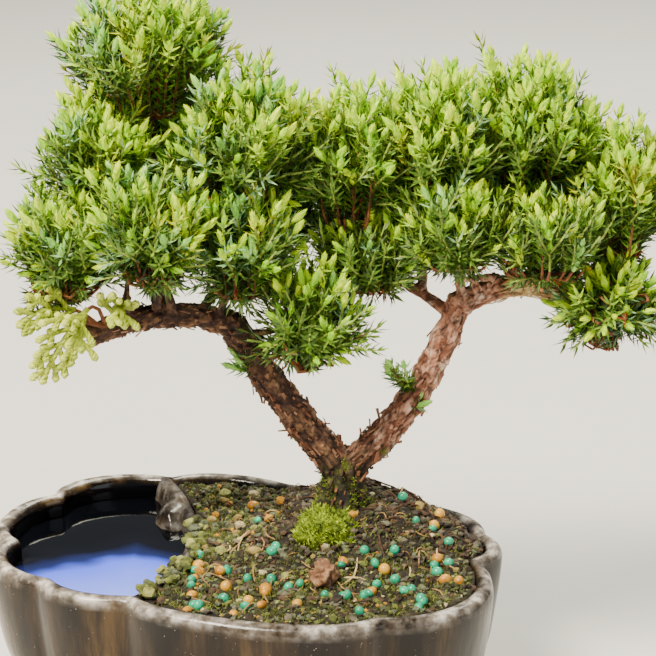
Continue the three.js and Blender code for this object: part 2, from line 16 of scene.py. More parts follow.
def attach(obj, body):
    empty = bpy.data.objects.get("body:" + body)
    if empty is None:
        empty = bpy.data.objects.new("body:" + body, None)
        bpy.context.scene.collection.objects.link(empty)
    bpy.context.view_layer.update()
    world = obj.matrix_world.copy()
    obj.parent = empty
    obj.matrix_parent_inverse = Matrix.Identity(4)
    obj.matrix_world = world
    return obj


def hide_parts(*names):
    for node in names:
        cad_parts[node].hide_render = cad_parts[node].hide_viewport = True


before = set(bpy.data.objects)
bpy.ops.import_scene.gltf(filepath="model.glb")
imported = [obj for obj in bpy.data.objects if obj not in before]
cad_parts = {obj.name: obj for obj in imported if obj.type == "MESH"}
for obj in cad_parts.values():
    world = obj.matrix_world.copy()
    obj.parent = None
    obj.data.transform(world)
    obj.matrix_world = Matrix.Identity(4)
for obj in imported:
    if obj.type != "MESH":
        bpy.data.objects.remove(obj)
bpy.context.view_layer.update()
MM = 0.001
print("nodes:", len(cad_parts))

# %% [markdown]
# The tree is grown by seeded rules, so it comes out the same on each run. A small generator gives
# the same numbers here as in the solids, and vectors of three numbers do the geometry in millimetres.
# Vector noise takes its offsets from the noise library's own seed, which would else be the clock's.

# %% Seeded numbers and directions
noise.seed_set(81)
WORD = 0xFFFFFFFF
UP = np.array([0.0, 0.0, 1.0])
GOLDEN = math.pi * (3 - math.sqrt(5))


def dice(seed):
    state = int(seed) & WORD

    def roll():
        nonlocal state
        state = (state + 0x6D2B79F5) & WORD
        mixed = ((state ^ (state >> 15)) * (1 | state)) & WORD
        mixed = ((mixed + (mixed ^ (mixed >> 7)) * (61 | mixed)) & WORD) ^ mixed
        return (mixed ^ (mixed >> 14)) / 4294967296

    return roll


def spot(*place):
    return np.array(place, float)


def unit(vector):
    return vector / np.maximum(np.linalg.norm(vector, axis=-1, keepdims=True), 1e-9)


def across_and_over(aim):
    side = UP if abs(aim[2]) < 0.9 else spot(1, 0, 0)
    across = unit(np.cross(side, aim))
    return across, np.cross(aim, across)


def any_way(roll):
    return spot(roll() - 0.5, roll() - 0.5, roll() - 0.5)


def turned_to(angle, across, over):
    return across * math.cos(angle) + over * math.sin(angle)


print("first number of seed 1:", round(dice(1)(), 4))

# %% [markdown]
# A limb of a trained juniper runs in one easy bend. A curve of three points gives that bend, and a
# table of its length lets a branch leave at a share of the length.

# %% Curves with one bend
class Bend:
    def __init__(self, *ends):
        self.ends = [np.array(p, float) for p in ends]
        self.shares = np.linspace(0, 1, 201)
        steps = np.linalg.norm(np.diff(self.point(self.shares), axis=0), axis=1)
        self.lengths = np.concatenate([[0], np.cumsum(steps)])
        self.length = self.lengths[-1]

    def point(self, share):
        t = np.asarray(share, float)[..., None]
        a, b, c = self.ends
        return (1 - t) ** 2 * a + 2 * (1 - t) * t * b + t * t * c

    def share(self, along):
        return np.interp(np.asarray(along, float) * self.length, self.lengths, self.shares)

    def at(self, along):
        return self.point(self.share(along))

    def aim(self, along):
        t = self.share(along)[..., None]
        a, b, c = self.ends
        return unit((1 - t) * (b - a) + t * (c - b))


# %% [markdown]
# The limbs, boughs and masses are named as in the solids. A limb leaves its parent at a share of the
# parent's length. A bough runs from its limb into the mass it feeds, sagging a little and turning up.

# %% The limbs and the masses
FORK = spot(43.4, 6, 111)
STUB = 12.5
CLEAR = 0.32
LIMBS = {
    "left_trunk": (None, 0, (12.6, 5, 150), (-5.5, 1, 182.7), 7, 6),
    "right_trunk": (None, 0, (80.6, 7, 147), (93.8, 9.8, 190), 6.4, 5.3),
    "left_arm": ("left_trunk", 0.96, (-27, -4, 194), (-65, -8, 178.4), 5.3, 4.2),
    "right_arm": ("right_trunk", 0.96, (118, 8, 204), (143, 5, 190.6), 5.2, 3.8),
    "leader": ("left_arm", 0.5, (-40, 5, 240), (-37, 8, 288), 3.5, 1.5),
    "arm_tip": ("left_arm", 0.88, (-80, -9, 182), (-88, -5, 200), 2.3, 1.4),
    "right_tip": ("right_arm", 0.82, (152, 5, 190), (163, 6, 202), 2.3, 1.4),
    "right_back": ("right_trunk", 0.9, (76, 20, 190), (62, 21, 199), 2.8, 1.7),
}
MASSES = {
    "top": ((-37, 8, 300), (36, 27, 33), "leader", 1, 14, 0.9),
    "left_mid": ((-57, -2, 258), (26, 25, 28), "leader", 0.42, 9, 0.9),
    "mid_right": ((0, -4, 264), (37, 27, 34), "leader", 0.52, 13, 0.9),
    "left_low": ((-71, -6, 220), (26, 23, 25), "arm_tip", 1, 8, 0.9),
    "left_front": ((-36, -28, 231), (27, 21, 27), "left_arm", 0.4, 9, 0.9),
    "centre": ((-1, -16, 222), (27, 21, 27), "left_arm", 0.12, 9, 0.9),
    "low_centre": ((27, -10, 188), (29, 22, 27), "left_trunk", 0.93, 10, 0.6),
    "hanging": ((-70, -20, 185), (26, 16, 25), "left_arm", 0.8, 7, -0.8),
    "back_left": ((-42, 44, 252), (33, 25, 32), "leader", 0.3, 9, 0.9),
    "back_centre": ((2, 40, 224), (33, 24, 32), "left_arm", 0.25, 9, 0.9),
    "right_inner": ((45, 6, 255), (26, 25, 31), "right_back", 1, 10, 0.9),
    "right_inner_low": ((55, 10, 214), (25, 22, 22), "right_back", 0.7, 8, 0.9),
    "right_mid": ((83, 2, 262), (27, 27, 36), "right_arm", 0.05, 12, 0.9),
    "right_mid_low": ((90, -13, 229), (25, 21, 22), "right_arm", 0.2, 8, 0.9),
    "right_top": ((122, 8, 266), (29, 27, 36), "right_arm", 0.45, 12, 0.9),
    "right_low": ((127, -15, 222), (28, 21, 24), "right_arm", 0.6, 9, 0.9),
    "right_far": ((157, 4, 240), (26, 25, 35), "right_tip", 0.6, 10, 0.9),
    "right_far_low": ((156, -10, 192), (26, 20, 23), "right_tip", 0.45, 6, 0.1),
    "back_right": ((80, 46, 238), (35, 25, 34), "right_back", 0.5, 9, 0.9),
    "back_far": ((128, 46, 236), (33, 25, 32), "right_arm", 0.7, 9, 0.9),
}

grown = {}
for name, (parent, along, bend, end, thick, thin) in LIMBS.items():
    if parent:
        start = grown[parent][0].at(along)
    else:
        start = FORK + unit(spot(*bend) - FORK) * (STUB + CLEAR)
    grown[name] = (Bend(start, bend, end), thick, thin)

for name, (middle, reach, limb, along, _, _) in MASSES.items():
    start = grown[limb][0].at(along)
    away = np.linalg.norm(start - middle)
    inside = 0.5 * max(reach)
    if along == 1 or away - inside < 13:
        continue
    end = np.array(middle, float) + (start - middle) * inside / away
    end[2] -= 0.15 * reach[2]
    bend = (start + end) / 2
    bend[2] -= 0.12 * np.linalg.norm(start - end)
    grown["bough_" + name] = (Bend(start, bend, end), min(2.4, 1.3 + 0.018 * away), 1.0)

stems = {}
for name, (middle, reach, limb, along, _, _) in MASSES.items():
    feeder = grown.get("bough_" + name, grown[limb])[0]
    from_tip = along == 1 or "bough_" + name in grown
    start = feeder.at(1 if from_tip else along)
    aim = feeder.aim(1) if from_tip else unit(middle - start)
    if from_tip:
        start = start + aim * CLEAR
    end = spot(*middle) + UP * 0.2 * reach[2]
    stems[name] = (Bend(start, start + aim * 0.4 * np.linalg.norm(start - end), end), from_tip)
print("limbs and boughs:", len(grown), "stems:", len(stems))

# %% [markdown]
# Every finish is built from nodes. One helper makes a material with a Principled shader, whose values
# are numbers or other nodes. Its noises lie on Object coordinates, which stay put because each object
# sits at the origin. Most finishes are mottled: a noise that runs through two or three shades.

# %% Helpers for finishes
def colour(hex_code):
    parts = [int(hex_code[i : i + 2], 16) / 255 for i in (1, 3, 5)]
    return tuple(p / 12.92 if p < 0.04045 else ((p + 0.055) / 1.055) ** 2.4 for p in parts) + (1.0,)


class Finish:
    def __init__(self, name, roughness=0.5, **sockets):
        self.material = bpy.data.materials.new(name)
        self.material.use_nodes = True
        self.nodes = self.material.node_tree.nodes
        self.shader = self.nodes["Principled BSDF"]
        self.fill(self.shader, Roughness=roughness, **sockets)
        self.place = self.nodes.new("ShaderNodeTexCoord").outputs["Object"]

    def feed(self, socket, value):
        if isinstance(value, bpy.types.NodeSocket):
            self.material.node_tree.links.new(value, socket)
        else:
            socket.default_value = colour(value) if isinstance(value, str) else value

    def fill(self, node, **values):
        for name, value in values.items():
            self.feed(node.inputs[name.replace("_", " ")], value)
        return node

    def node(self, kind, **values):
        return self.fill(self.nodes.new("ShaderNode" + kind), **values)

    def noise(self, scale, detail=4.0, stretch=None, roughness=0.55):
        place = self.place
        if stretch:
            place = self.node("Mapping", Scale=stretch, Vector=place).outputs["Vector"]
        node = self.node("TexNoise", Scale=scale, Detail=detail, Roughness=roughness, Vector=place)
        return node.outputs["Fac"]

    def cells(self, scale):
        return self.node("TexVoronoi", Scale=scale, Vector=self.place).outputs["Distance"]

    def attribute(self, name):
        node = self.node("Attribute")
        node.attribute_name = name
        return node.outputs["Fac"]

    def axis(self, letter):
        return self.node("SeparateXYZ", Vector=self.place).outputs[letter]

    def ramp(self, value, *stops):
        node = self.node("ValToRGB", Fac=value)
        ramp = node.color_ramp
        while len(ramp.elements) < len(stops):
            ramp.elements.new(0.5)
        for element, (place, shade) in zip(ramp.elements, stops):
            element.position = place
            element.color = colour(shade)
        return node.outputs["Color"]

    def spread(self, value, low, high, to_low=0.0, to_high=1.0):
        node = self.node("MapRange", Value=value, From_Min=low, From_Max=high, To_Min=to_low, To_Max=to_high)
        return node.outputs["Result"]

    def math(self, operation, a, b=0.0):
        node = self.node("Math")
        node.operation = operation
        self.feed(node.inputs[0], a)
        self.feed(node.inputs[1], b)
        return node.outputs["Value"]

    def mix(self, share, a, b):
        node = self.node("Mix")
        node.data_type = "RGBA"
        for name, value in (("Factor", share), ("A", a), ("B", b)):
            self.feed(next(s for s in node.inputs if s.name == name and s.enabled), value)
        return next(s for s in node.outputs if s.enabled)

    def paint(self, shade):
        self.fill(self.shader, Base_Color=shade)

    def bump(self, height, distance, strength=1.0):
        node = self.node("Bump", Height=height, Distance=distance, Strength=strength)
        self.fill(self.shader, Normal=node.outputs["Normal"])


def mottled(name, roughness, grain, stops, relief=None, **sockets):
    made = Finish(name, roughness, **sockets)
    made.paint(made.ramp(made.noise(*grain), *stops))
    if relief:
        scale, detail, distance, strength = relief
        made.bump(made.noise(scale, detail), distance, strength)
    return made


# %% [markdown]
# Two ways of making shapes follow. A form that runs through rings, such as the pot or a limb, starts
# as a circle and is extruded ring by ring, each ring being set in its place as it is made. Many small
# things, such as needles, are laid out as arrays and joined at once, which is far quicker.

# %% Helpers for shapes
def next_ring(bm, ring):
    edges = [bm.edges.get((a, b)) for a, b in zip(ring, ring[1:] + ring[:1])]
    made = bmesh.ops.extrude_edge_only(bm, edges=edges)["geom"]
    fresh = {v for v in made if isinstance(v, bmesh.types.BMVert)}
    return [next(e.other_vert(v) for e in v.link_edges if e.other_vert(v) in fresh) for v in ring]


def cap(bm, ring):
    edges = [bm.edges.get((a, b)) for a, b in zip(ring, ring[1:] + ring[:1])]
    bmesh.ops.contextual_create(bm, geom=edges)


def loft(bm, rings, layer=None, values=None):
    first = bmesh.ops.create_circle(bm, segments=len(rings[0]), radius=1)["verts"]
    ring = list(first)
    for k, places in enumerate(rings):
        ring = next_ring(bm, ring) if k else ring
        for vertex, place in zip(ring, places):
            vertex.co = Vector(place) * MM
            if layer:
                vertex[layer] = values[k]
        if k == 0:
            cap(bm, ring)
    cap(bm, ring)


def finished(name, bm, materials, slot=None, *nodes):
    bmesh.ops.recalc_face_normals(bm, faces=bm.faces)
    mesh = bpy.data.meshes.new(name)
    bm.to_mesh(mesh)
    bm.free()
    return placed(name, mesh, materials, slot, *nodes)


def linked(name, data):
    made = bpy.data.objects.new(name, data)
    bpy.context.scene.collection.objects.link(made)
    return made


def placed(name, mesh, materials, slot=None, *nodes, smooth=True):
    for finish in materials:
        mesh.materials.append(finish.material)
    mesh.polygons.foreach_set("use_smooth", [smooth] * len(mesh.polygons))
    piece = linked(name, mesh)
    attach(piece, "root")
    if nodes:
        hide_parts(*nodes)
    return piece


# %% [markdown]
# Small things are heaped up as arrays of corners and triangles. A blade has five corners, with its
# widest place a third of the way up. A whorl is three blades round a twig. A tube follows a path.

# %% Blades, whorls and tubes as arrays
BLADE = np.array([[0, 2, 1], [1, 2, 4], [0, 1, 3], [0, 3, 2], [1, 4, 3], [2, 3, 4]])


class Heap:
    def __init__(self):
        self.spots, self.faces, self.kinds, self.count = [], [], [], 0

    def add(self, spots, faces, kinds):
        self.spots.append(spots)
        self.faces.append(faces + self.count)
        self.kinds.append(np.broadcast_to(kinds, len(faces)))
        self.count += len(spots)

    def piece(self, name, finishes, slot, *nodes, smooth=False):
        faces = np.vstack(self.faces)
        mesh = bpy.data.meshes.new(name)
        mesh.vertices.add(self.count)
        mesh.vertices.foreach_set("co", (np.vstack(self.spots) * MM).astype(np.float32).ravel())
        mesh.loops.add(faces.size)
        mesh.loops.foreach_set("vertex_index", faces.astype(np.int32).ravel())
        mesh.polygons.add(len(faces))
        mesh.polygons.foreach_set("loop_start", np.arange(0, faces.size, 3, dtype=np.int32))
        mesh.polygons.foreach_set("material_index", np.concatenate(self.kinds).astype(np.int32))
        mesh.update(calc_edges=True)
        placed(name, mesh, finishes, slot, *nodes, smooth=smooth)
        print(name, "triangles:", len(faces))
        return len(faces)


def blades_of(roots, aims, sides, length, width, thick, middle, hook):
    overs = np.cross(aims, sides)
    waist = roots + aims * (length * middle)[:, None]
    spots = np.stack([roots, waist + sides * width[:, None] / 2, waist - sides * width[:, None] / 2,
                      waist - overs * thick, roots + aims * length[:, None] + hook], 1)
    faces = (BLADE[None] + 5 * np.arange(len(roots))[:, None, None]).reshape(-1, 3)
    return spots.reshape(-1, 3), faces


def whorls(heap, kinds, path, aims, turn, angles, lengths, widths, thick,
           middle=0.34, forward=0.16, inward=0.0):
    count = len(path)
    step = np.repeat(np.arange(count), 3)
    aim = aims[step]
    side = np.where(np.abs(aim[:, 2:3]) < 0.9, UP, spot(1, 0, 0))
    across = unit(np.cross(side, aim))
    over = np.cross(aim, across)
    angle = turn + step * math.pi / 3 + np.tile(np.arange(3), count) * 2 * math.pi / 3
    out = across * np.cos(angle)[:, None] + over * np.sin(angle)[:, None]
    lean = angles[step][:, None]
    points = unit(aim * np.cos(lean) + out * np.sin(lean))
    sides = unit(np.cross(aim, out))
    length = lengths[step]
    hook = aim * (length * forward)[:, None] - out * (length * inward)[:, None]
    spots, faces = blades_of(path[step] + out * 0.3, points, sides, length, widths[step], thick, middle, hook)
    heap.add(spots, faces, np.tile(kinds, len(step)))


def both_sides(green):
    return [2 * green + 1] * 2 + [2 * green] * 4


def tube(heap, path, radii, sides=4, kind=0, ridge=0.0):
    aims = unit(np.gradient(path, axis=0))
    side = UP if abs(aims[0][2]) < 0.9 else spot(1, 0, 0)
    across = unit(np.cross(side, aims))
    over = np.cross(aims, across)
    angle = np.linspace(0, 2 * math.pi, sides, endpoint=False)
    level, corner = np.arange(len(path))[:, None], np.arange(sides)[None]
    swell = np.asarray(radii)[:, None] * (1 + ridge * (-1.0) ** (level + corner))
    spots = path[:, None] + swell[..., None] * (
        across[:, None] * np.cos(angle)[None, :, None] + over[:, None] * np.sin(angle)[None, :, None])
    spots = np.concatenate([spots.reshape(-1, 3), path[:1], path[-1:]])
    a = (level[:-1] * sides + corner).ravel()
    b = (level[:-1] * sides + (corner + 1) % sides).ravel()
    end, first = (len(path) - 1) * sides, len(path) * sides
    ring, after = np.arange(sides), (np.arange(sides) + 1) % sides
    faces = np.concatenate([
        np.stack([a, b, b + sides], 1), np.stack([a, b + sides, a + sides], 1),
        np.stack([after, ring, np.full(sides, first)], 1),
        np.stack([end + ring, end + after, np.full(sides, first + 1)], 1)])
    heap.add(spots, faces, kind)


# %% [markdown]
# The camera stands where the photograph was taken from: a metre away, looking down by about eighteen
# degrees with a long lens, so the pot's rim shows as a flat oval. A pale floor and large soft lamps
# stand in for the nursery's open shade. The lamp behind lights the needles through, as the sky does.

# %% Camera, floor and lights
AIM = Vector((0.0365, 0, 0.1794))
DOWN = math.radians(18)


def aimed(name, data, place):
    made = linked(name, data)
    made.location = place
    made.rotation_euler = (AIM - made.location).to_track_quat("-Z", "Y").to_euler()
    return made


lens = bpy.data.cameras.new("camera")
lens.lens = 128
lens.sensor_width = 36
camera = aimed("camera", lens, AIM + Vector((0, -math.cos(DOWN), math.sin(DOWN))))
bpy.context.scene.camera = camera

pale = mottled("pale_floor", 0.8, (3,), ((0.3, "#d9d6d0"), (0.7, "#dedbd6")))
bm = bmesh.new()
bmesh.ops.create_grid(bm, x_segments=1, y_segments=1, size=8)
mesh = bpy.data.meshes.new("floor")
bm.to_mesh(mesh)
bm.free()
mesh.materials.append(pale.material)
linked("floor", mesh)

for name, place, size, power, shade in (
        ("key", (-0.8, -0.8, 1.7), 0.6, 104, "#fff3e0"),
        ("fill", (1.3, -1.2, 0.9), 1.2, 8, "#f2f6ff"),
        ("back", (0.4, 1.2, 1.8), 1.0, 72, "#fffbe6")):
    lamp = bpy.data.lights.new(name, "AREA")
    lamp.size, lamp.energy, lamp.color = size, power, colour(shade)[:3]
    aimed(name, lamp, Vector(place))
world = bpy.data.worlds.new("sky")
world.use_nodes = True
sky = world.node_tree.nodes["Background"].inputs
sky["Color"].default_value = colour("#e4eaf2")
sky["Strength"].default_value = 0.3
bpy.context.scene.world = world
print("camera at", [round(c, 3) for c in camera.location])

# %% [markdown]
# The pot is slip-cast stoneware: a long oval drawn in by sharp creases, so that its wall swells in
# lobes between them. A lathe can't make that, so its outline is worked out for each angle, and the
# same outline runs up the wall, over the rounded rim and down inside. Wear and a painted highlight are
# written on the rim's rings, where the glaze has thinned to a grey-brown, and painted shade inside.

# %% The pot's outline
LENGTH, WIDTH, TURN = 240, 168, math.radians(-17)
SQUARE = 2.4  # two would be an oval, and more is nearer to a box
PINCHES = ((6, 0.12), (30, 0.06), (60, 0.06), (90, 0.11), (120, 0.1), (162, 0.08), (198, 0.1), (234, 0.06),
           (258, 0.12), (312, 0.06))
PINCH_SPREAD = math.radians(8)
PINCH_SOFT = math.radians(1.2)
POOL = (-150, 15)
POOL_RADIUS, DIVIDER_WIDTH, WATER_LEVEL = 122, 8, 70
RIM = 10


def outline(angle, inset, pinch):
    angle = np.asarray(angle, float)
    x = np.sign(np.cos(angle)) * np.abs(np.cos(angle)) ** (2 / SQUARE) * (LENGTH / 2 - inset)
    y = np.sign(np.sin(angle)) * np.abs(np.sin(angle)) ** (2 / SQUARE) * (WIDTH / 2 - inset)
    drawn = np.ones_like(angle)
    for degrees, depth in PINCHES:
        away = angle - math.radians(degrees)
        apart = np.abs(np.arctan2(np.sin(away), np.cos(away)))
        drawn -= pinch * depth * np.exp(-(np.sqrt(apart**2 + PINCH_SOFT**2) - PINCH_SOFT) / PINCH_SPREAD)
    c, s = math.cos(TURN), math.sin(TURN)
    return np.stack([x * drawn * c - y * drawn * s, x * drawn * s + y * drawn * c], -1)


def level_ring(angles, z, inset, pinch):
    flat = outline(angles, inset, pinch)
    return np.column_stack([flat, np.full(len(flat), z)])


# %% The glaze
glaze = Finish("dark_glaze", 0.12, IOR=1.5, Specular_IOR_Level=0.33)
streaks = glaze.noise(46, 7, (1, 1, 0.1), 0.66)
body = glaze.ramp(streaks, (0.3, "#040302"), (0.45, "#100b07"), (0.55, "#2b2013"), (0.7, "#5e4a2c"))
specks = glaze.math("MULTIPLY", glaze.spread(glaze.cells(420), 0.07, 0.13, 1.0, 0.0),
                    glaze.spread(glaze.noise(45, 3), 0.5, 0.6))
body = glaze.mix(specks, body, "#8d8476")
# Painted shade: the inside of the pot below the rim is turned near black.
body = glaze.mix(glaze.spread(glaze.attribute("wear_highlight_and_shade"), -0.8, -0.1), "#050405", body)
# The rim is grey-brown where the glaze has worn thin, and a painted highlight lightens it to near white along
# its edge.
wear_highlight_and_shade = glaze.math("MULTIPLY", glaze.attribute("wear_highlight_and_shade"), glaze.spread(glaze.noise(90, 6), 0.3, 0.55))
edge = glaze.ramp(glaze.noise(160, 6), (0.32, "#2c2620"), (0.5, "#8d8478"), (0.66, "#e6e0d6"))
glaze.paint(glaze.mix(wear_highlight_and_shade, body, edge))
glaze.fill(glaze.shader, Roughness=glaze.spread(wear_highlight_and_shade, 0, 1, 0.13, 0.3))
glaze.bump(glaze.noise(70, 4, (1, 1, 0.2)), 0.0012, 0.5)

# %% [markdown]
# The wall is a list of rings from the foot, up the outside, over the rim and down inside. Each ring has
# a height, how far it lies in from the outline, and how deep its creases are. Between the listed rings
# others are filled in, and the whole is smoothed. A value of one is the bare, worn rim with its painted
# highlight, and minus one is painted shade that turns the inside black.

# %% The pot's wall, rim and hollow
SIDES = 420
WALL = np.array([
    (0.0, 33, 0.3), (0.0, 29, 0.3), (1.5, 27, 0.32), (14, 16, 0.5), (36, 6.5, 0.75), (60, 1.8, 0.95),
    (75, 0, 1), (77.6, 0.55, 1), (79.1, 1.9, 1), (79.9, 3.7, 1), (79.95, 5.3, 1), (79.3, 7.4, 0.97),
    (77.6, 9.1, 0.92), (74.5, 10, 0.88), (64, 10.2, 0.8), (40, 12, 0.65), (30, 15, 0.6), (28, 24, 0.5)])
RINGS_BETWEEN = (1, 2, 5, 8, 8, 5, 3, 3, 3, 3, 3, 3, 3, 4, 6, 3, 2)
WEAR_HIGHLIGHT_AND_SHADE = ((6.0, 7.2, 8.4, 10.0, 11.6, 12.6), (0, 0.6, 1, 0.75, 0, -1))

turns = np.linspace(0, 2 * math.pi, SIDES, endpoint=False)
stations = [np.linspace(i, i + 1, n, endpoint=False) for i, n in enumerate(RINGS_BETWEEN)]
stations = np.concatenate(stations + [[len(WALL) - 1.0]])
profile = np.stack([np.interp(stations, np.arange(len(WALL)), WALL[:, k]) for k in range(3)], 1)
for _ in range(6):
    profile[3:-1] = 0.25 * profile[2:-2] + 0.5 * profile[3:-1] + 0.25 * profile[4:]
bm = bmesh.new()
layer = bm.verts.layers.float.new("wear_highlight_and_shade")
loft(bm, [level_ring(turns, *ring) for ring in profile], layer, np.interp(stations, *WEAR_HIGHLIGHT_AND_SHADE))
print("pot faces:", len(bm.faces))

# %% [markdown]
# A curved wall parts the pool from the soil. It is pressed by hand to look like a ledge of rock, with
# a wavy top, and grows out of the pot's wall at both ends. Here it is a loft of arched sections along
# an arc, broader at the back, where one rounded shoulder of rock is run into it.

# %% The dividing wall
DIVIDER_MIDDLE, DIVIDER_UP, DIVIDER_DOWN = 62, 15.8, 12
SHOULDER_AT, SHOULDER_SPREAD = 0.36, 0.16


def inside_pot(x, y, inset):
    flat = outline(turns, inset, 0.8)
    angles = np.arctan2(flat[:, 1], flat[:, 0])
    order = np.argsort(angles)
    reach = np.hypot(flat[:, 0], flat[:, 1])
    limit = np.interp(np.arctan2(y, x), angles[order], reach[order], period=2 * math.pi)
    return np.hypot(x, y) < limit


arc = np.linspace(-1.2, 1.2, 800)
middle = POOL_RADIUS + DIVIDER_WIDTH / 2
within = inside_pot(POOL[0] + middle * np.cos(arc), POOL[1] + middle * np.sin(arc), RIM - 1.6)
arc = np.linspace(arc[within].min(), arc[within].max(), 90)
rings = []
for turn in arc:
    toward = min(turn - arc[0], arc[-1] - turn) * middle
    shoulder = math.exp(-((turn - SHOULDER_AT) / SHOULDER_SPREAD) ** 2)
    ledge = 0.6 * math.sin(15 * turn + 1) + 0.8 * noise.noise(Vector((turn * 10, 3, 0)))
    ledge += 1.2 * math.exp(-toward / 6) + 2.4 * shoulder
    half = DIVIDER_WIDTH / 2 * (1 + 0.25 * math.exp(-toward / 7))
    half += 0.5 * noise.noise(Vector((turn * 10, 9, 0)))
    places = []
    for a in np.linspace(0, 2 * math.pi, 22, endpoint=False):
        wide = np.sign(math.cos(a)) * abs(math.cos(a)) ** 0.7 * (half + 1.7 * shoulder) - 1.7 * shoulder
        high = DIVIDER_MIDDLE + math.sin(a) * (DIVIDER_UP + ledge if math.sin(a) > 0 else DIVIDER_DOWN)
        lump = 0.4 * noise.noise(Vector((turn * 27, wide * 0.3, high * 0.12)))
        radius = middle + wide + lump
        places.append(spot(POOL[0] + radius * math.cos(turn), POOL[1] + radius * math.sin(turn), high))
    rings.append(places)
# The dividing wall, and its rock below, take a little of the rim's wear and painted highlight.
loft(bm, rings, layer, [0.25] * len(rings))


def rock(bm, place, reach, seed, fine=4, rough=0.16, scale=2.2, layer=None, value=0.0):
    for vertex in bmesh.ops.create_icosphere(bm, subdivisions=fine, radius=1)["verts"]:
        at = vertex.co.copy()
        push = 1 + rough * noise.noise(at * scale + Vector((seed, 0, 0)))
        push += 0.4 * rough * noise.noise(at * scale * 2.7 + Vector((0, seed, 0)))
        vertex.co = Vector([p + push * c * r for p, c, r in zip(place, at, reach)]) * MM
        if layer:
            vertex[layer] = value


rock(bm, (-35, 50, 67.5), (8.6, 14.5, 11.2), 5, 5, 0.16, 0.9, layer, 0.35)
pot = finished("glazed_pot", bm, [glaze], "glaze", "pot")
print("pot with its dividing wall:", len(pot.data.polygons), "faces")

# %% [markdown]
# The pool is still water a centimetre below the rim. Seen at a low angle its back part mirrors the dark
# wall, and its front part the open sky, in a clear violet blue. Both are painted reflections: one smooth
# body with a low roughness carries them in its colour, which turns from blue to near black along a slanting
# line. Its edge is found by halving steps along rays from its middle, which end where the pot or the
# dividing wall begins.

# %% The pool
WATER_MIDDLE = (-68, 14)
WATER_RINGS = ((0.6, -30), (0.995, -30), (1, -29), (1, -0.4),  # share of the reach, depth
               (0.985, -0.25), (0.95, -0.02), (0.5, 0), (0.08, 0))


def reach_of_rays(start, turns, farthest, halvings, fits):
    reach = []
    for turn in turns:
        low, high = 0.0, farthest
        for _ in range(halvings):
            half = (low + high) / 2
            inside = fits(start[0] + half * math.cos(turn), start[1] + half * math.sin(turn))
            low, high = (half, high) if inside else (low, half)
        reach.append(low)
    return np.array(reach)


def from_pool(x, y):
    return math.hypot(x - POOL[0], y - POOL[1])


pool = Finish("pool_water", 0.03, IOR=1.33, Specular_IOR_Level=0.35)
sideways = pool.math("ABSOLUTE", pool.math("ADD", pool.axis("X"), 0.05))
slant = pool.math("ADD", pool.axis("Y"), pool.math("MULTIPLY", sideways, 0.45))
painted_reflection_line = pool.math("ADD", slant, pool.spread(pool.noise(30, 2), 0.3, 0.7, -0.004, 0.004))
# Painted reflection: the open sky's violet blue in front and the dark wall's near black behind are painted into
# the water's colour along a slanting line.
pool.paint(pool.ramp(pool.spread(painted_reflection_line, -0.064, 0.036), (0.0, "#a9b6ff"), (0.3, "#7e92ff"), (0.68, "#4c62ee"),
                     (0.76, "#1a2352"), (0.84, "#080912"), (1.0, "#040508")))
pool.bump(pool.noise(90, 2), 0.0004, 0.1)
around = np.linspace(0, 2 * math.pi, 220, endpoint=False)
reach = reach_of_rays(WATER_MIDDLE, around, 90.0, 16,
                      lambda x, y: inside_pot(x, y, RIM + 0.1) and from_pool(x, y) < POOL_RADIUS + 1)
bm = bmesh.new()
loft(bm, [np.column_stack([WATER_MIDDLE[0] + share * reach * np.cos(around),
                           WATER_MIDDLE[1] + share * reach * np.sin(around),
                           np.full(len(around), WATER_LEVEL + drop)]) for share, drop in WATER_RINGS])
water = finished("pool_surface", bm, [pool], "water", "water")
print("pool faces:", len(water.data.polygons))

# %% [markdown]
# The soil is a mound of bark, grit and clay grains that falls to the rim, and stops at the dividing
# wall. Rays from the trunk out to the wall carry its rings, each lifted to the mound's height with
# noise for clods. Loose grains, clay pebbles, fertiliser beads, bark and straw are then strewn on it.

# %% The mound of soil
GROUND, GROUND_HEIGHT, GROUND_RADIUS = (43, 6), 96, 16
MOUND, MOUND_REACH, MOUND_EDGE, MOUND_RISE = (52, 14), (54, 52), 77, 19.5
EDGE_HEIGHT, EDGE_SLOPE = 78.4, 38
around = np.linspace(0, 2 * math.pi, 300, endpoint=False)
soil_reach = reach_of_rays(GROUND, around, 150.0, 18,
                           lambda x, y: inside_pot(x, y, RIM + 0.2) and from_pool(x, y) > POOL_RADIUS + 7.4)


def soil_height(x, y):
    away = ((x - MOUND[0]) / MOUND_REACH[0]) ** 2 + ((y - MOUND[1]) / MOUND_REACH[1]) ** 2
    lumps = 0.7 * (np.sin(x * 0.37) + np.cos(y * 0.41 + x * 0.13))
    mound = MOUND_EDGE + MOUND_RISE * np.exp(-1.5 * away**1.4) + lumps
    apart = np.hypot(x - GROUND[0], y - GROUND[1])
    turn = np.arctan2(y - GROUND[1], x - GROUND[0])
    share = apart / np.interp(turn, around, soil_reach, period=2 * math.pi)
    mound = np.minimum(mound, EDGE_HEIGHT + EDGE_SLOPE * (1 - share) + 0.6 * lumps)
    t = np.clip((apart - GROUND_RADIUS) / 9, 0, 1)
    t = t * t * (3 - 2 * t)
    return GROUND_HEIGHT + (mound - GROUND_HEIGHT) * t


def soil_ring(share, z=None):
    x = GROUND[0] + share * soil_reach * np.cos(around)
    y = GROUND[1] + share * soil_reach * np.sin(around)
    if z is None:
        clods = [1.7 * noise.noise(Vector((a * 0.16, b * 0.16, 0)))
                 + 1.2 * noise.noise(Vector((a * 0.5, b * 0.5, 5))) for a, b in zip(x, y)]
        z = soil_height(x, y) + np.array(clods) * min(1, 3 * (1 - share) + 0.35)
    return np.column_stack([x, y, np.broadcast_to(z, x.shape)])


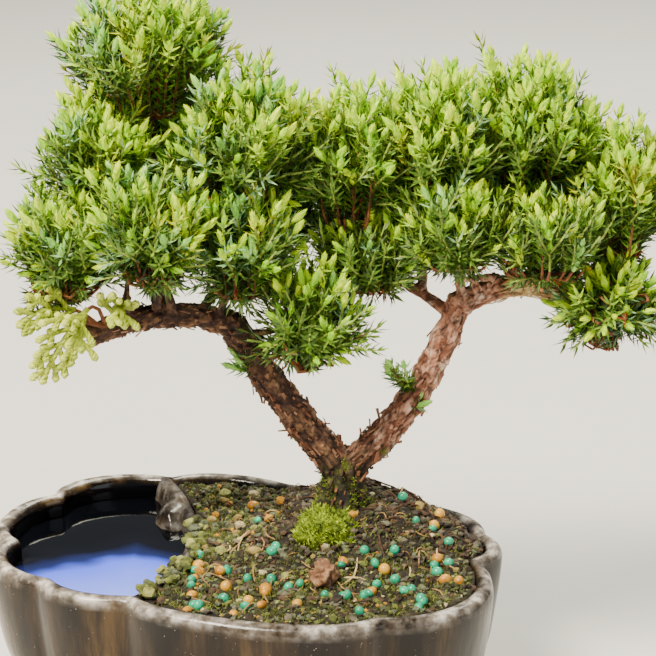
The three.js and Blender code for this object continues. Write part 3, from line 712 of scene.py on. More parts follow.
earth = mottled("dark_soil", 0.95, (150, 8, None, 0.7),
                ((0.3, "#0f0c08"), (0.48, "#221e13"), (0.6, "#3d3722"), (0.74, "#6a6342")))
earth.bump(earth.noise(420, 6, roughness=0.75), 0.0012, 0.9)
bm = bmesh.new()
loft(bm, [soil_ring(0.5, 45), soil_ring(1, 45)] + [soil_ring(1 - k / 64) for k in range(64)])
soil = finished("soil_mound", bm, [earth], "soil", "soil")
print("soil faces:", len(soil.data.polygons))

# %% [markdown]
# What lies on the mound isn't even. Pale stones and green-coated grit gather by the pool and along the
# front, while dark crumbs and rootlets are thickest round the trunk and to its right. Each kind is
# strewn by chance, and a rule of favour says how likely a place is to keep it.

# %% Grains strewn on the soil
BARE = ((43, 6, 12), (34.5, -44, 6))  # no grains round the trunk's foot or under the stone: x, y, radius


def on_soil(roll, near=0.0, far=1.0):
    turn = roll() * 2 * math.pi
    share = math.sqrt(near**2 + (far**2 - near**2) * roll()) * 0.985
    reach = np.interp(turn, around, soil_reach, period=2 * math.pi)
    x, y = GROUND[0] + share * reach * math.cos(turn), GROUND[1] + share * reach * math.sin(turn)
    return spot(x, y, float(soil_height(np.array(x), np.array(y))))


def on_divider(roll, *_):
    turn = -0.56 + 0.66 * roll()
    radius = POOL_RADIUS + 1.5 + 9 * roll()
    return spot(POOL[0] + radius * math.cos(turn), POOL[1] + radius * math.sin(turn), 78.6)


def by_the_pool(x, y):
    return min(1.0, max(0.06, (30 - x) / 36))


def in_front(x, y):
    return min(1.0, max(0.05, (4 - y) / 44))


def left_and_front(x, y):
    return max(by_the_pool(x, y), in_front(x, y))


def by_the_trunk(x, y):
    return max(0.25, 1 - 0.8 * left_and_front(x, y))


def ball(fine):
    made = bmesh.new()
    bmesh.ops.create_icosphere(made, subdivisions=fine, radius=1)
    spots = np.array([v.co for v in made.verts])
    faces = np.array([[v.index for v in f.verts] for f in made.faces])
    made.free()
    return spots, faces


def strew(name, count, seed, sizes, flat, finishes, fine=1, rough=0.3, favour=None, near=0.03, far=1.0,
          smooth=False, where=on_soil, clear=BARE):
    roll = dice(seed)
    form, form_faces = ball(fine)
    heap = Heap()
    while len(heap.spots) < count:
        place = where(roll, near, far)
        size = sizes[0] + (sizes[1] - sizes[0]) * roll() ** 2
        unlucky = favour and roll() > favour(place[0], place[1])
        if unlucky or any(np.hypot(place[0] - x, place[1] - y) < r + 0.4 * size for x, y, r in clear):
            continue
        shape = form * (1 + rough * (np.array([roll() for _ in form])[:, None] - 0.5))
        if fine > 1:
            bumps = [noise.noise(Vector(p) * 1.6 + Vector((seed, len(heap.spots), 0))) for p in form]
            shape = form * (1 + 1.6 * rough * np.array(bumps)[:, None])
        shape = shape * spot(1, 0.7 + 0.5 * roll(), flat * (0.8 + 0.4 * roll())) * size / 2
        turn, lean = 6.28 * roll(), 0.9 * (roll() - 0.5)
        spin = np.array([[math.cos(turn), -math.sin(turn), 0], [math.sin(turn), math.cos(turn), 0], [0, 0, 1]])
        tip = np.array([[1, 0, 0], [0, math.cos(lean), -math.sin(lean)], [0, math.sin(lean), math.cos(lean)]])
        place[2] += size / 2 * flat * 0.5
        heap.add(shape @ (spin @ tip).T + place, form_faces, int(len(finishes) * roll()))
    heap.piece(name, finishes, "soil", smooth=smooth)


def grit(name, dark, light):
    return mottled(name, 0.9, (260, 4), ((0.35, dark), (0.65, light)), (900, 4, 0.0004, 0.6))


crumb = [grit("crumb_dark", "#120e09", "#33281b"), grit("crumb_brown", "#2a1d12", "#5a432c"),
         grit("crumb_grey", "#3b362b", "#6b6350")]
olive = [grit("grit_olive", "#262b12", "#50542a"), grit("grit_moss", "#3d461a", "#757c36"),
         grit("grit_sage", "#434a34", "#70765a")]
pale = [grit("stone_cream", "#8e8058", "#cfc496"), grit("stone_tan", "#74622e", "#ac9654"),
        grit("stone_olive", "#6a6c30", "#a2a45a"), grit("stone_orange", "#94620c", "#cc962a")]
strew("soil_crumbs", 3000, 101, (0.9, 3.8), 0.75, crumb, 1, 0.6, by_the_trunk, clear=BARE[:1])
strew("bark_crumbs", 420, 102, (2.2, 6.4), 0.35, crumb, 1, 0.7)
strew("olive_grit", 2600, 104, (0.8, 3.6), 0.7, olive, 1, 0.7, left_and_front)
strew("pale_grit", 330, 103, (0.9, 2.8), 0.8, pale, 1, 0.6, left_and_front)
strew("pale_stones", 40, 105, (2.8, 6.4), 0.75, pale, 2, 0.2, by_the_pool)
strew("stones_by_the_pool", 60, 109, (2.6, 6.4), 0.75, olive + [olive[1], pale[2]], 2, 0.3, where=on_divider)

# %% [markdown]
# Slow feed shows as small teal beads, and older feed as yellow-brown ones. They are near-perfect balls
# with a slight shine, each sunk a little, most of them to the front of the trunk.

# %% Beads of feed
bead = mottled("feed_bead", 0.3, (160, 2), ((0.35, "#0a8a62"), (0.7, "#27bd8c")), Coat_Weight=0.3)
old_bead = mottled("old_feed_bead", 0.4, (140, 3), ((0.35, "#a8680a"), (0.65, "#e0aa34")), Coat_Weight=0.2)
strew("feed_beads", 42, 107, (4.1, 5.0), 1.0, [bead], 2, 0.0, in_front, 0.3, 0.97, True)
strew("old_feed_beads", 20, 112, (4.2, 6.2), 0.95, [old_bead], 2, 0.02, in_front, 0.45, 0.97, True)

# %% [markdown]
# Straws, bits of bark fibre and dark rootlets lie on and half in the soil, and dead needles have dropped
# from the crown. Each is a thin tube or blade laid at the mound's height, bowed a little.

# %% Straws, rootlets and dropped needles
def sticks(name, count, seed, lengths, thick, finishes, favour, near=0.1, far=0.9):
    roll, heap, made = dice(seed), Heap(), 0
    while made < count:
        place = on_soil(roll, near, far)
        if roll() > favour(place[0], place[1]):
            continue
        length = lengths[0] + (lengths[1] - lengths[0]) * roll() ** 1.5
        turn = 6.28 * roll()
        way = spot(math.cos(turn), math.sin(turn), 0)
        bow = spot(-way[1], way[0], 0) * length * 0.5 * (roll() - 0.5)
        share = np.linspace(0, 1, 5)[:, None]
        path = place + way * length * (share - 0.5) + bow * 4 * share * (1 - share)
        path[:, 2] = soil_height(path[:, 0], path[:, 1]) + thick + 2.2 * roll() * np.sin(share[:, 0] * math.pi)
        path[:, 2] += 1.2 * (roll() - 0.3) * share[:, 0]
        if inside_pot(path[0][0], path[0][1], RIM + 2) and inside_pot(path[-1][0], path[-1][1], RIM + 2):
            tube(heap, path, thick * np.array([0.6, 1, 1, 0.9, 0.5]), 5, int(len(finishes) * roll()))
            made += 1
    heap.piece(name, finishes, "soil")


straw = [grit("straw_pale", "#b89a5c", "#e4cc90"), grit("straw_brown", "#7c5a34", "#b08a58")]
rootlet = [grit("rootlet_dark", "#1d120b", "#4a2f1e"), grit("rootlet_red", "#35200f", "#664630")]
litter = [grit("litter_tan", "#8d6a3a", "#c49c60"), grit("litter_rust", "#56341c", "#8f6238")]
sticks("straws", 40, 121, (7, 19), 0.38, straw, left_and_front)
sticks("rootlets", 110, 122, (6, 20), 0.4, rootlet, by_the_trunk, 0.08)
sticks("dropped_needles", 220, 123, (3, 6), 0.22, litter, lambda x, y: 0.8)

# %% [markdown]
# Moss has crept over the mound in front of the trunk, in one bright tuft. A rounded clump gives its
# body, and thousands of short blades that lean outwards give it the soft broken edge.

# %% The tuft of moss
def moss(name, dark, middle, light):
    return mottled(name, 0.95, (240, 5), ((0.3, dark), (0.52, middle), (0.72, light)), (700, 4, 0.001, 0.8))


mossy = moss("moss_in_shade", "#3c4e0c", "#6d8216", "#99ad28")
fresh = moss("moss_tips", "#7f9a14", "#b4cc26", "#dcec52")
bm = bmesh.new()
rock(bm, (36, -13, 90.2), (11.2, 9.6, 8.8), 3, 4, 0.5, 2.6)
for vertex in bm.verts:
    lowest = float(soil_height(np.array(vertex.co.x / MM), np.array(vertex.co.y / MM))) - 1.5
    vertex.co.z = max(vertex.co.z, lowest * MM)
body = finished("moss_body", bm, [mossy], "moss", "moss")

THREE_CORNERS = (0, 2.0944, 4.1888)
SPIKE = np.array([[0, 1, 3], [1, 2, 3], [2, 0, 3], [0, 2, 1]])


def spikes(name, roots, aims, lengths, width, finishes, kinds, *nodes):
    roots, aims, lengths = np.array(roots), unit(np.array(aims)), np.array(lengths)
    sides = unit(np.cross(aims, np.where(np.abs(aims[:, 2:3]) < 0.9, UP, spot(1, 0, 0))))
    overs = np.cross(aims, sides)
    corners = [roots + width * (math.cos(a) * sides + math.sin(a) * overs) for a in THREE_CORNERS]
    spots = np.stack(corners + [roots + aims * lengths[:, None]], 1).reshape(-1, 3)
    faces = (SPIKE[None] + 4 * np.arange(len(roots))[:, None, None]).reshape(-1, 3)
    heap = Heap()
    heap.add(spots, faces, np.repeat(kinds, 4))
    heap.piece(name, finishes, "moss", *nodes)


roll = dice(71)
roots, aims, lengths, kinds = [], [], [], []
for face in body.data.polygons:
    if face.center.z / MM < 84:
        continue
    clump = noise.noise(Vector(face.center) * 320) > -0.05
    for _ in range(3):
        jitter = any_way(roll)
        roots.append(np.array(face.center) / MM + 0.6 * jitter)
        aims.append(np.array(face.normal) + 0.9 * jitter + 0.5 * UP)
        lengths.append((1.6 if clump else 0.9) + 1.5 * roll())
        kinds.append(int(clump and roll() < 0.75))
spikes("moss_blades", roots, aims, lengths, 0.3, [mossy, fresh], kinds, "moss")

# %% A film of moss and fibres over the soil
FILM_BLADES = 17000
roll = dice(72)
film = [moss("film_olive", "#2a3010", "#4c5420", "#6f7a30"),
        moss("film_yellow", "#57601a", "#8a9430", "#b4b84c"), grit("film_fibre", "#2c2016", "#5e4a34")]
roots, aims, lengths, kinds = [], [], [], []
while len(roots) < FILM_BLADES:
    place = on_soil(roll, 0.12, 0.98)
    patch = noise.noise(Vector(place) * 0.09) + 0.5 * noise.noise(Vector(place) * 0.3)
    green = left_and_front(place[0], place[1])
    if roll() > (0.25 + 0.75 * green) * (0.45 + patch):
        continue
    roots.append(place - spot(0, 0, 0.3))
    aims.append(spot(1.6 * (roll() - 0.5), 1.6 * (roll() - 0.5), 0.35 + 0.6 * roll()))
    lengths.append(1.1 + 3.0 * roll() ** 2)
    kinds.append(2 if roll() > 0.35 + 0.6 * green else int(roll() < 0.3))
spikes("film_on_the_soil", roots, aims, lengths, 0.24, film, kinds)

# %% [markdown]
# One larger stone lies in front, reddish and worn, taller than wide. A ball with coarse noise is enough,
# since only its top shows above the grains.

# %% The stone
stony = mottled("red_stone", 0.85, (190, 7, None, 0.7), ((0.3, "#432a1c"), (0.5, "#7c563a"), (0.68, "#b08a62")),
                (600, 5, 0.0006, 0.7))
bm = bmesh.new()
rock(bm, (34.5, -43, 83.4), (5.1, 4.5, 5.9), 8, 5, 0.55, 1.4)
finished("loose_stone", bm, [stony], "stone", "stone")

# %% [markdown]
# The trunk and its limbs are one skin of flaking bark. Tubes along every limb are laid into each
# other and remeshed as one, which rounds the crotches as wood grows over them. The skin is then
# pushed in and out by cells that follow each limb: plates stand up, cracks sink between them.

# %% The limbs as one skin
BARE_TWIGS = (
    ((-36, -5, 188), (-37, -16, 203), (-22, -21, 218), 2.1),
    ((-47, -6, 187), (-50, -15, 195), (-46, -22, 210), 1.7),
    ((126, 6, 199), (136, -2, 203), (141, -8, 199), 2.2),
    ((110, 8, 199), (104, -3, 204), (92, -8, 203), 1.9),
)
FOOT_HEIGHTS, FOOT_RADIUS, NECK_RADIUS = (95.2, 114), 10, 8.2
RING_STEP = 2.5
VOXEL = 0.62 * MM


def limb_rings(curve, thick, thin, sides, seed, reach_back=0.0):
    count = max(4, int(curve.length / RING_STEP))
    rings = []
    across, _ = across_and_over(curve.aim(0.0))
    for k in range(count + 1):
        along = k / count
        aim = curve.aim(along)
        across = unit(across - aim * np.dot(across, aim))
        over = np.cross(aim, across)
        knob = 1 + 0.07 * noise.noise(Vector((seed, along * curve.length * 0.12, 0)))
        radius = (thick + (thin - thick) * along) * knob
        middle = curve.at(along) + (aim * -reach_back if k == 0 else 0)
        rings.append([middle + radius * (math.cos(a) * across + math.sin(a) * over)
                      for a in np.linspace(0, 2 * math.pi, sides, endpoint=False)])
    return rings


bm = bmesh.new()
low, high = FOOT_HEIGHTS
foot = []
for k in range(13):
    rise, ring = k / 12, []
    for a in np.linspace(0, 2 * math.pi, 40, endpoint=False):
        roots = 1 + 0.28 * (1 - rise) ** 3 * (1 + 0.8 * math.cos(5 * a + 0.5))
        radius = (FOOT_RADIUS + (NECK_RADIUS - FOOT_RADIUS) * min(1, rise * 1.5)) * roots
        ring.append(spot(GROUND[0] + radius * math.cos(a), GROUND[1] + radius * math.sin(a),
                         low + (high - low) * rise))
    foot.append(ring)
loft(bm, foot)
for name in ("left_trunk", "right_trunk"):
    curve, thick, _ = grown[name]
    start = curve.ends[0]
    into_foot = Bend(FORK, (FORK + start) / 2, start + curve.aim(0.0))
    loft(bm, limb_rings(into_foot, thick * 1.08, thick, 24, 5))
for i, (curve, thick, thin) in enumerate(grown.values()):
    loft(bm, limb_rings(curve, thick, thin, 24 if thick > 3 else 14, i + 11, 1.0 if i < 2 else 0))
for start, bend, end, thick in BARE_TWIGS:
    loft(bm, limb_rings(Bend(start, bend, end), thick, 0.55 * thick, 12, start[0]))
skin = finished("skin", bm, [])
remesh = skin.modifiers.new("remesh", "REMESH")
remesh.mode = "VOXEL"
remesh.voxel_size = VOXEL
bpy.context.view_layer.update()
wood = bpy.data.meshes.new_from_object(skin.evaluated_get(bpy.context.evaluated_depsgraph_get()))
bpy.data.objects.remove(skin)
print("skin vertices:", len(wood.vertices))

# %% [markdown]
# Each point of the skin looks up the nearest guide point on the limbs, which tells it the limb's
# direction, radius and place along. Cells stretched along the limb make plates and the cracks between
# them, a second finer set makes crumbs, and a slow noise makes lumps. Thin limbs get less of it.

# %% The relief of the bark
GUIDES_PER_LIMB, GUIDES_IN_FOOT, FOOT_ORDER = 120, 40, 60

samples = kdtree.KDTree(GUIDES_PER_LIMB * len(grown) + GUIDES_IN_FOOT)
guides = []
for order, (curve, thick, thin) in enumerate(grown.values()):
    for along in np.linspace(0, 1, GUIDES_PER_LIMB):
        radius = thick + (thin - thick) * along
        guides.append((curve.at(along), curve.aim(along), along * curve.length, radius, order))
for rise in np.linspace(0, 1, GUIDES_IN_FOOT):
    guides.append((spot(*GROUND, 94 + 18 * rise), UP, 18 * rise, 9.0, FOOT_ORDER))
for index, guide in enumerate(guides):
    samples.insert(guide[0], index)
samples.balance()
print("guide points along the limbs:", len(guides))


def relief(at, guide):
    middle, aim, along, radius, order = guide
    out = at - middle
    across, over = across_and_over(aim)
    place = Vector((np.dot(out, across), np.dot(out, over), along * 0.5 + order * 17))
    warped = place + noise.noise_vector(place * 0.35) * 1.6
    distances, near = noise.voronoi(warped * 0.33)
    crack = min(1.0, 3.2 * (distances[1] - distances[0]))
    plate = noise.noise(near[0] * 7.3)
    crumbs = noise.voronoi(warped * 0.8)[0]
    crumb = min(1.0, 2.0 * (crumbs[1] - crumbs[0]))
    lumps = noise.noise(place * 0.3) + 0.5 * noise.noise(place * 0.75)
    push = 0.45 * (crack - 0.6) + 0.6 * max(plate, -0.3) + 0.35 * (crumb - 0.6) + 1.25 * lumps + 0.25
    return min(1.0, radius / 5) * push, 0.55 * crack + 0.45 * crumb, 0.6 * plate + 0.6 * lumps


def read(values, key):
    flat = np.empty(3 * len(values), np.float32)
    values.foreach_get(key, flat)
    return flat.reshape(-1, 3)


def write(label, values):
    wood.attributes.new(label, "FLOAT", "POINT").data.foreach_set("value", values.astype(np.float32))


spots = read(wood.vertices, "co") / MM
normals = read(wood.vertices, "normal")
nearest = [samples.find(at)[1] for at in spots]
push, crack, plate = np.array([relief(at, guides[i]) for at, i in zip(spots, nearest)]).T
wood.vertices.foreach_set("co", ((spots + normals * push[:, None]) * MM).astype(np.float32).ravel())
write("crack", crack)
write("plate", plate * 0.5 + 0.5)
# The right side, from x 40 mm to 60 mm and beyond, takes the lighter, pinker bark: partly that trunk's own
# tone, partly painted sunlight against the darker brown left.
write("pink_bark_and_sunlight", np.clip((spots[:, 0] - 40) / 20, 0, 1))
write("straw", np.clip((spots[:, 0] - 108) / 12, 0, 1))

bark = Finish("juniper_bark", 0.86)
shade = bark.noise(120, 8, roughness=0.72)
tone = bark.math("ADD", bark.math("MULTIPLY", bark.attribute("plate"), 0.55), bark.math("MULTIPLY", shade, 0.5))
red = bark.ramp(tone, (0.32, "#3a1f13"), (0.47, "#8e583e"), (0.58, "#c48f72"), (0.74, "#f0d0b8"))
brown = bark.ramp(tone, (0.32, "#170d08"), (0.5, "#4a2f20"), (0.64, "#86603f"), (0.8, "#b8926c"))
dried = bark.ramp(tone, (0.32, "#6e4a26"), (0.5, "#b58d54"), (0.7, "#e8cf98"))
# Painted sunlight with the pink bark: the lighter red ramp on the right side, the darker brown ramp on the
# left.
skin_tone = bark.mix(bark.attribute("pink_bark_and_sunlight"), brown, red)
skin_tone = bark.mix(bark.attribute("straw"), skin_tone, dried)
# Painted shade: the cracks between the plates are darkened to near black.
skin_tone = bark.mix(bark.spread(bark.attribute("crack"), 0.1, 0.62, 0.85, 0.0), skin_tone, "#1a0d07")
height = bark.math("ADD", bark.axis("Z"), bark.spread(bark.noise(70, 4), 0.3, 0.7, -0.009, 0.009))
mossy_foot = bark.ramp(bark.noise(170, 5), (0.35, "#0f0c06"), (0.52, "#2c2a12"), (0.66, "#6d7426"),
                       (0.8, "#a3b03c"))
bark.paint(bark.mix(bark.spread(height, 0.111, 0.126, 1.0, 0.0), skin_tone, mossy_foot))
bark.bump(bark.noise(480, 8, (1, 1, 1), 0.75), 0.0008, 0.9)
limbs = placed("bark_of_trunk_and_limbs", wood, [bark], "bark", "trunk", *grown)
print("bark faces:", len(limbs.data.polygons))

# %% [markdown]
# Juniper bark comes away in thin plates that lift at one end, and in long dry shreds. Plates are laid
# on the skin at places dealt by chance, along the limb, each a thin closed slab with one raised end.
# They are many on the dark left trunk and near the fork, and few on the smoother right trunk above.

# %% Flakes and shreds of bark
SLAB = np.array([[0, 2, 1], [1, 2, 3], [4, 5, 6], [5, 7, 6], [0, 1, 4], [1, 5, 4],
                 [2, 6, 3], [3, 6, 7], [0, 4, 2], [2, 4, 6], [1, 3, 5], [3, 7, 5]])
FLAKE_TRIES, SHRED_TRIES, FOOT_TUFTS = 1500, 5200, 1500
THINNEST_LIMB = 2.6
PINK, TAN, RUST, DARK, STRAW = range(5)


def flake(name, dark, light):
    return mottled(name, 0.85, (200, 5), ((0.35, dark), (0.65, light)), (700, 4, 0.0004, 0.7))


FLAKES = [flake("flake_pink", "#96624a", "#d0a486"), flake("flake_tan", "#74482e", "#b08460"),
          flake("flake_rust", "#5c2f1c", "#95603f"), flake("flake_dark", "#1f120b", "#553826"),
          flake("flake_straw", "#b48c52", "#ecd29c")]


# The pink flakes on the right trunk follow the skin's pink bark and its painted sunlight.
def flake_kind(at, luck):
    if at[2] < 118:
        return DARK if luck < 0.85 else RUST
    if at[0] > 112 and luck < 0.5:
        return STRAW
    if at[0] > 58:
        return PINK if luck < 0.62 else TAN if luck < 0.8 else RUST if luck < 0.9 else DARK
    if at[2] < 172:
        return TAN if luck < 0.42 else RUST if luck < 0.74 else DARK
    return DARK if luck < 0.56 else TAN if luck < 0.8 else RUST


skin_spots = spots + normals * push[:, None]
roll = dice(81)
flakes = Heap()
for _ in range(FLAKE_TRIES):
    i = int(roll() * len(skin_spots))
    at, normal, radius = skin_spots[i], normals[i], guides[nearest[i]][3]
    on_smooth_bark = at[0] > 62 and at[2] > 134
    if at[2] < 99 or radius < THINNEST_LIMB or roll() > (0.22 if on_smooth_bark else 0.9):
        continue
    along = guides[nearest[i]][1] * (1 if roll() < 0.5 else -1)
    side = unit(np.cross(normal, along) + 0.6 * (roll() - 0.5) * along)
    along = np.cross(side, normal)
    size = min(1.0, radius / 5.5)
    length, width = (1.2 + 3.6 * roll() ** 2) * size, (0.5 + 1.3 * roll() ** 1.5) * size
    lift = math.radians(6 + 46 * roll() ** 1.7)
    way = along * math.cos(lift) + normal * math.sin(lift)
    out = np.cross(way, side) * (1 if np.dot(np.cross(way, side), normal) > 0 else -1)
    base = at - along * length * 0.3 - normal * 0.15
    tip = base + way * length + out * 0.5 * (roll() - 0.5)
    skew = along * length * 0.3
    corners = []
    for end, least, more in ((base, 0.25, 0.3), (tip, 0.1, 0.5)):
        corners.append(end - side * width * (least + more * roll()) + skew * (roll() - 0.5))
        corners.append(end + side * width * (least + more * roll()))
    thick = out * (0.22 + 0.4 * roll()) * (1.7 if at[2] < 150 else 1.0)
    turned = np.dot(np.cross(corners[1] - corners[0], corners[2] - corners[0]), out) > 0
    flakes.add(np.array(corners + [c + thick for c in corners]), SLAB if turned else SLAB[:, ::-1],
               flake_kind(at, roll()))
flakes.piece("bark_flakes", FLAKES, "bark", "trunk", *grown)

shreds = Heap()
for _ in range(SHRED_TRIES):
    i = int(roll() * len(skin_spots))
    at, guide = skin_spots[i], guides[nearest[i]]
    dry = at[0] > 112
    if roll() > (0.32 if dry else 0.025) or guide[3] < THINNEST_LIMB or at[2] < 118:
        continue
    way = unit(guide[1] * (1 if roll() < 0.5 else -1) + normals[i] * (0.15 + 0.5 * roll())
               + 0.5 * any_way(roll))
    length = (4 if dry else 2.5) + (9 if dry else 5) * roll() ** 1.5
    share = np.linspace(0, 1, 4)[:, None]
    line = at + way * length * share - normals[i] * 0.25 * length * share**2
    tube(shreds, line, np.array([0.4, 0.36, 0.28, 0.1]), 3, 0 if dry else 1)
shreds.piece("bark_shreds", [FLAKES[STRAW], FLAKES[TAN]], "bark", "trunk", *grown)

low = [i for i in range(0, len(skin_spots), 3) if 96 < skin_spots[i][2] < 119 and normals[i][2] > -0.5]
low = [i for i in low if noise.noise(Vector(skin_spots[i] * 0.22)) + 0.02 * (108 - skin_spots[i][2]) > 0.12]
picked = [low[int(roll() * len(low))] for _ in range(FOOT_TUFTS)]
lean = np.array([spot(roll() - 0.5, roll() - 0.5, roll()) for _ in picked])
lichen = moss("lichen_on_foot", "#5f6a24", "#98a63c", "#c4d06a")
lengths = [0.7 + 1.3 * roll() for _ in picked]
kinds = [int(roll() < 0.4) for _ in picked]
spikes("moss_on_the_trunk", skin_spots[picked], normals[picked] + 0.8 * lean, lengths, 0.3, [mossy, lichen],
       kinds, "trunk")

# %% [markdown]
# The foliage is awl-shaped needles in whorls of three, each whorl turned a sixth on from the last, which
# draws a V down every spray. The side of a needle that faces the twig is paler, so its two upper faces
# take a lighter finish than the rest. Colours are dealt out by spray: bright at the top and deep inside,
# partly as new and old growth and partly as painted sunlight and painted shade.

# %% Greens and browns of the foliage
def leaf(name, dark, light, roughness=0.5):
    return mottled(name, roughness, (130, 2), ((0.35, dark), (0.65, light)))


NEEDLES = []
for name, dark, light, pale_dark, pale_light in (
        ("deep", "#1b340a", "#304c10", "#3e5e18", "#62862c"),
        ("green", "#385c0c", "#527f18", "#6e9c26", "#9cc444"),
        ("blue", "#3c6a3a", "#588a50", "#7cac70", "#a8d498"),
        ("light", "#60900a", "#84b412", "#9ccc10", "#ccee2a"),
        ("yellow", "#7c880a", "#9ca410", "#acb80e", "#d0dc26")):
    NEEDLES += [leaf("needles_" + name, dark, light), leaf("needles_" + name + "_upper", pale_dark, pale_light)]
BUDS = [leaf("buds_bright", "#a8dc04", "#dcf414", 0.42), leaf("buds_green", "#84c808", "#bce81c", 0.42),
        leaf("buds_blue", "#80c04c", "#b4e470", 0.42)]
DRY = [leaf("needles_rust", "#8f3410", "#cf5f1c", 0.7), leaf("needles_straw", "#b07c36", "#dbb06a", 0.7)]
SCALES = [leaf("scale_leaves", "#7e9012", "#adbc2c", 0.5), leaf("scale_tips", "#a8bc30", "#d2de5c", 0.5)]
TWIGS = [mottled("twig_bark", 0.85, (150, 4), ((0.3, "#4c2413"), (0.7, "#a2653a"))),
         leaf("green_twig", "#7c9430", "#a8b850", 0.6)]
DEEP, GREEN, BLUE, LIGHT, YELLOW = range(5)
OLDER = {DEEP: DEEP, GREEN: DEEP, BLUE: DEEP, LIGHT: GREEN, YELLOW: GREEN}
print("leaf finishes:", len(NEEDLES) + len(BUDS) + len(DRY) + len(SCALES))

# %% A bud and a spray of needles
WHORL_STEP = 2.25
NEEDLE_LENGTH = 6.1
NEEDLE_WIDTH = 1.4
NEEDLE_ANGLE, CLOSING_BUDDED, CLOSING_BARE = 60, 27, 36
BUD_LENGTH, BUD_WIDTH = 9.6, 3.3
RIGHT_EDGE = 184  # twigs stop here, so that the crown keeps to the CAD model's box


def bud(heap, kind, foot, aim, length, turn):
    width = BUD_WIDTH * length / BUD_LENGTH / 2
    rise = np.array([0.0, 0.2, 0.47, 0.75, 0.98])
    radii = width * np.array([0.35, 0.82, 1.0, 0.66, 0.06])
    tube(heap, foot + aim * (rise * length)[:, None], radii, 6, kind, 0.12)
    at = foot + aim * np.array([[0.02], [0.2]]) * length
    whorls(heap, [kind] * 6, at, np.repeat(aim[None], 2, 0), turn, np.radians([15, 11]),
           length * np.array([0.74, 0.7]), width * np.array([0.95, 0.85]), 0.4, 0.5, 0.02, 0.05)


def spray(piles, start, aim, length, turn, green, kind, bow, roll, scale=1.0, rusty=0):
    length = min(length, max(6.0, (RIGHT_EDGE - start[0]) / max(aim[0], 0.01)))
    bud_length = BUD_LENGTH * scale * (0.8 + 0.35 * roll()) if kind >= 0 else 0.0
    count = max(2, int((length - 0.72 * bud_length) / WHORL_STEP))
    along = (np.arange(count) + 0.35 + 0.25 * roll()) * WHORL_STEP
    share = along / length
    path = start + aim * along[:, None] + bow * (share**2 * length)[:, None]
    aims = unit(aim + 2 * bow * share[:, None])
    closing = CLOSING_BUDDED if kind >= 0 else CLOSING_BARE
    angles = np.radians(NEEDLE_ANGLE - closing * share**3 + 8 * (roll() - 0.5))
    swelling = 0.7 + 0.34 * np.sin(np.pi * (0.12 + 0.72 * share))
    lengths = scale * NEEDLE_LENGTH * swelling * (0.9 + 0.2 * roll())
    widths = np.full(count, NEEDLE_WIDTH * scale)
    older = max(rusty, int(count * (0.5 if kind >= 0 else 0.75)))
    for pile, kinds, first, last in (("dry", [0 if roll() < 0.7 else 1] * 6, 0, rusty),
                                     ("needles", both_sides(OLDER[green]), rusty, older),
                                     ("needles", both_sides(green), older, count)):
        if last > first:
            part = slice(first, last)
            whorls(piles[pile], kinds, path[part], aims[part], turn + first * math.pi / 3, angles[part],
                   lengths[part], widths[part], 0.42 * scale)
    bare = length - bud_length
    end = start + aim * bare + bow * bare**2 / length
    if kind >= 0:
        bud(piles["buds"], kind, end, unit(aim + 2 * bow * bare / length), bud_length, turn)
    stalk = np.array([start, start + aim * length * 0.5 + bow * length * 0.25, end])
    tube(piles["twigs"], stalk, np.array([0.6, 0.5, 0.35]), 3, 1 if length < 24 else 0)


# %% [markdown]
# A shoot is kept only where it fits: inside its mass's space, clear of the wood, and not too close to
# a neighbour. It starts low in the mass and climbs nearly upright to the mass's skin, as the real ones
# do after light. Its lower needles are laid bare, and short side shoots with buds crowd round its tip.

# %% Where a shoot may grow
centres = np.array([m[0] for m in MASSES.values()], float)
sizes = np.array([np.mean(m[1]) for m in MASSES.values()])
wood_spots = np.array([g[0] for g in guides])
wood_radii = np.array([g[3] for g in guides])


def in_own_space(index, spots, overlap):
    power = ((spots[:, None] - centres[None]) ** 2).sum(-1) - sizes**2
    slack = 2 * overlap * np.linalg.norm(centres - centres[index], axis=1)
    return bool((power[:, [index]] <= power + slack + 1e-6).all())


def clear_of_wood(spots, room):
    apart = np.linalg.norm(spots[:, None] - wood_spots[None], axis=2) - wood_radii
    return bool((apart > room).all())


def foot_share(stem, at, lowest):
    low, high = stem.point(0.0), stem.point(1.0)
    apart = math.hypot(at[0] - high[0], at[1] - high[1])
    return min(0.96, max(lowest, (at[2] - 0.45 * apart - low[2]) / max(high[2] - low[2], 1)))


def length_inside(tip, back, middle, reach):
    at, way = (tip - middle) / reach, back / reach
    a, b, c = way @ way, 2 * at @ way, at @ at - FURTHEST_OUT
    return (-b + math.sqrt(max(b * b - 4 * a * c, 0))) / (2 * a)


def in_turn(k, upright, roll):
    lean = 1 - ((k % TRIES + 0.5) / TRIES) * 1.6
    rise = -lean if upright < 0 else lean
    angle = k * GOLDEN + 0.7 * roll()
    level = math.sqrt(max(0, 1 - rise * rise))
    return spot(level * math.cos(angle), level * math.sin(angle), rise)


GROUPS = {
    "left_top": ("top", "left_mid", "mid_right"),
    "left_low": ("left_low", "left_front", "centre", "low_centre"),
    "left_back": ("back_left", "back_centre"),
    "right_inner": ("right_inner", "right_inner_low", "right_mid", "right_mid_low"),
    "right_outer": ("right_top", "right_low", "right_far", "right_far_low"),
    "right_back": ("back_right", "back_far"),
}
LAYERS = (0.9, 0.82, 0.68, 0.5)  # how far out in its mass a shoot's tip lies, the skin first
TRIES = 40  # shoots tried in each layer
SPACING = 8.2  # least gap between two tips, times the number in SPARSE where the mass is open
SIDE_SHOOTS = 5
FURTHEST_OUT = 1.15
ROOM = 3.0  # from the wood, and over the edge of the mass's own space
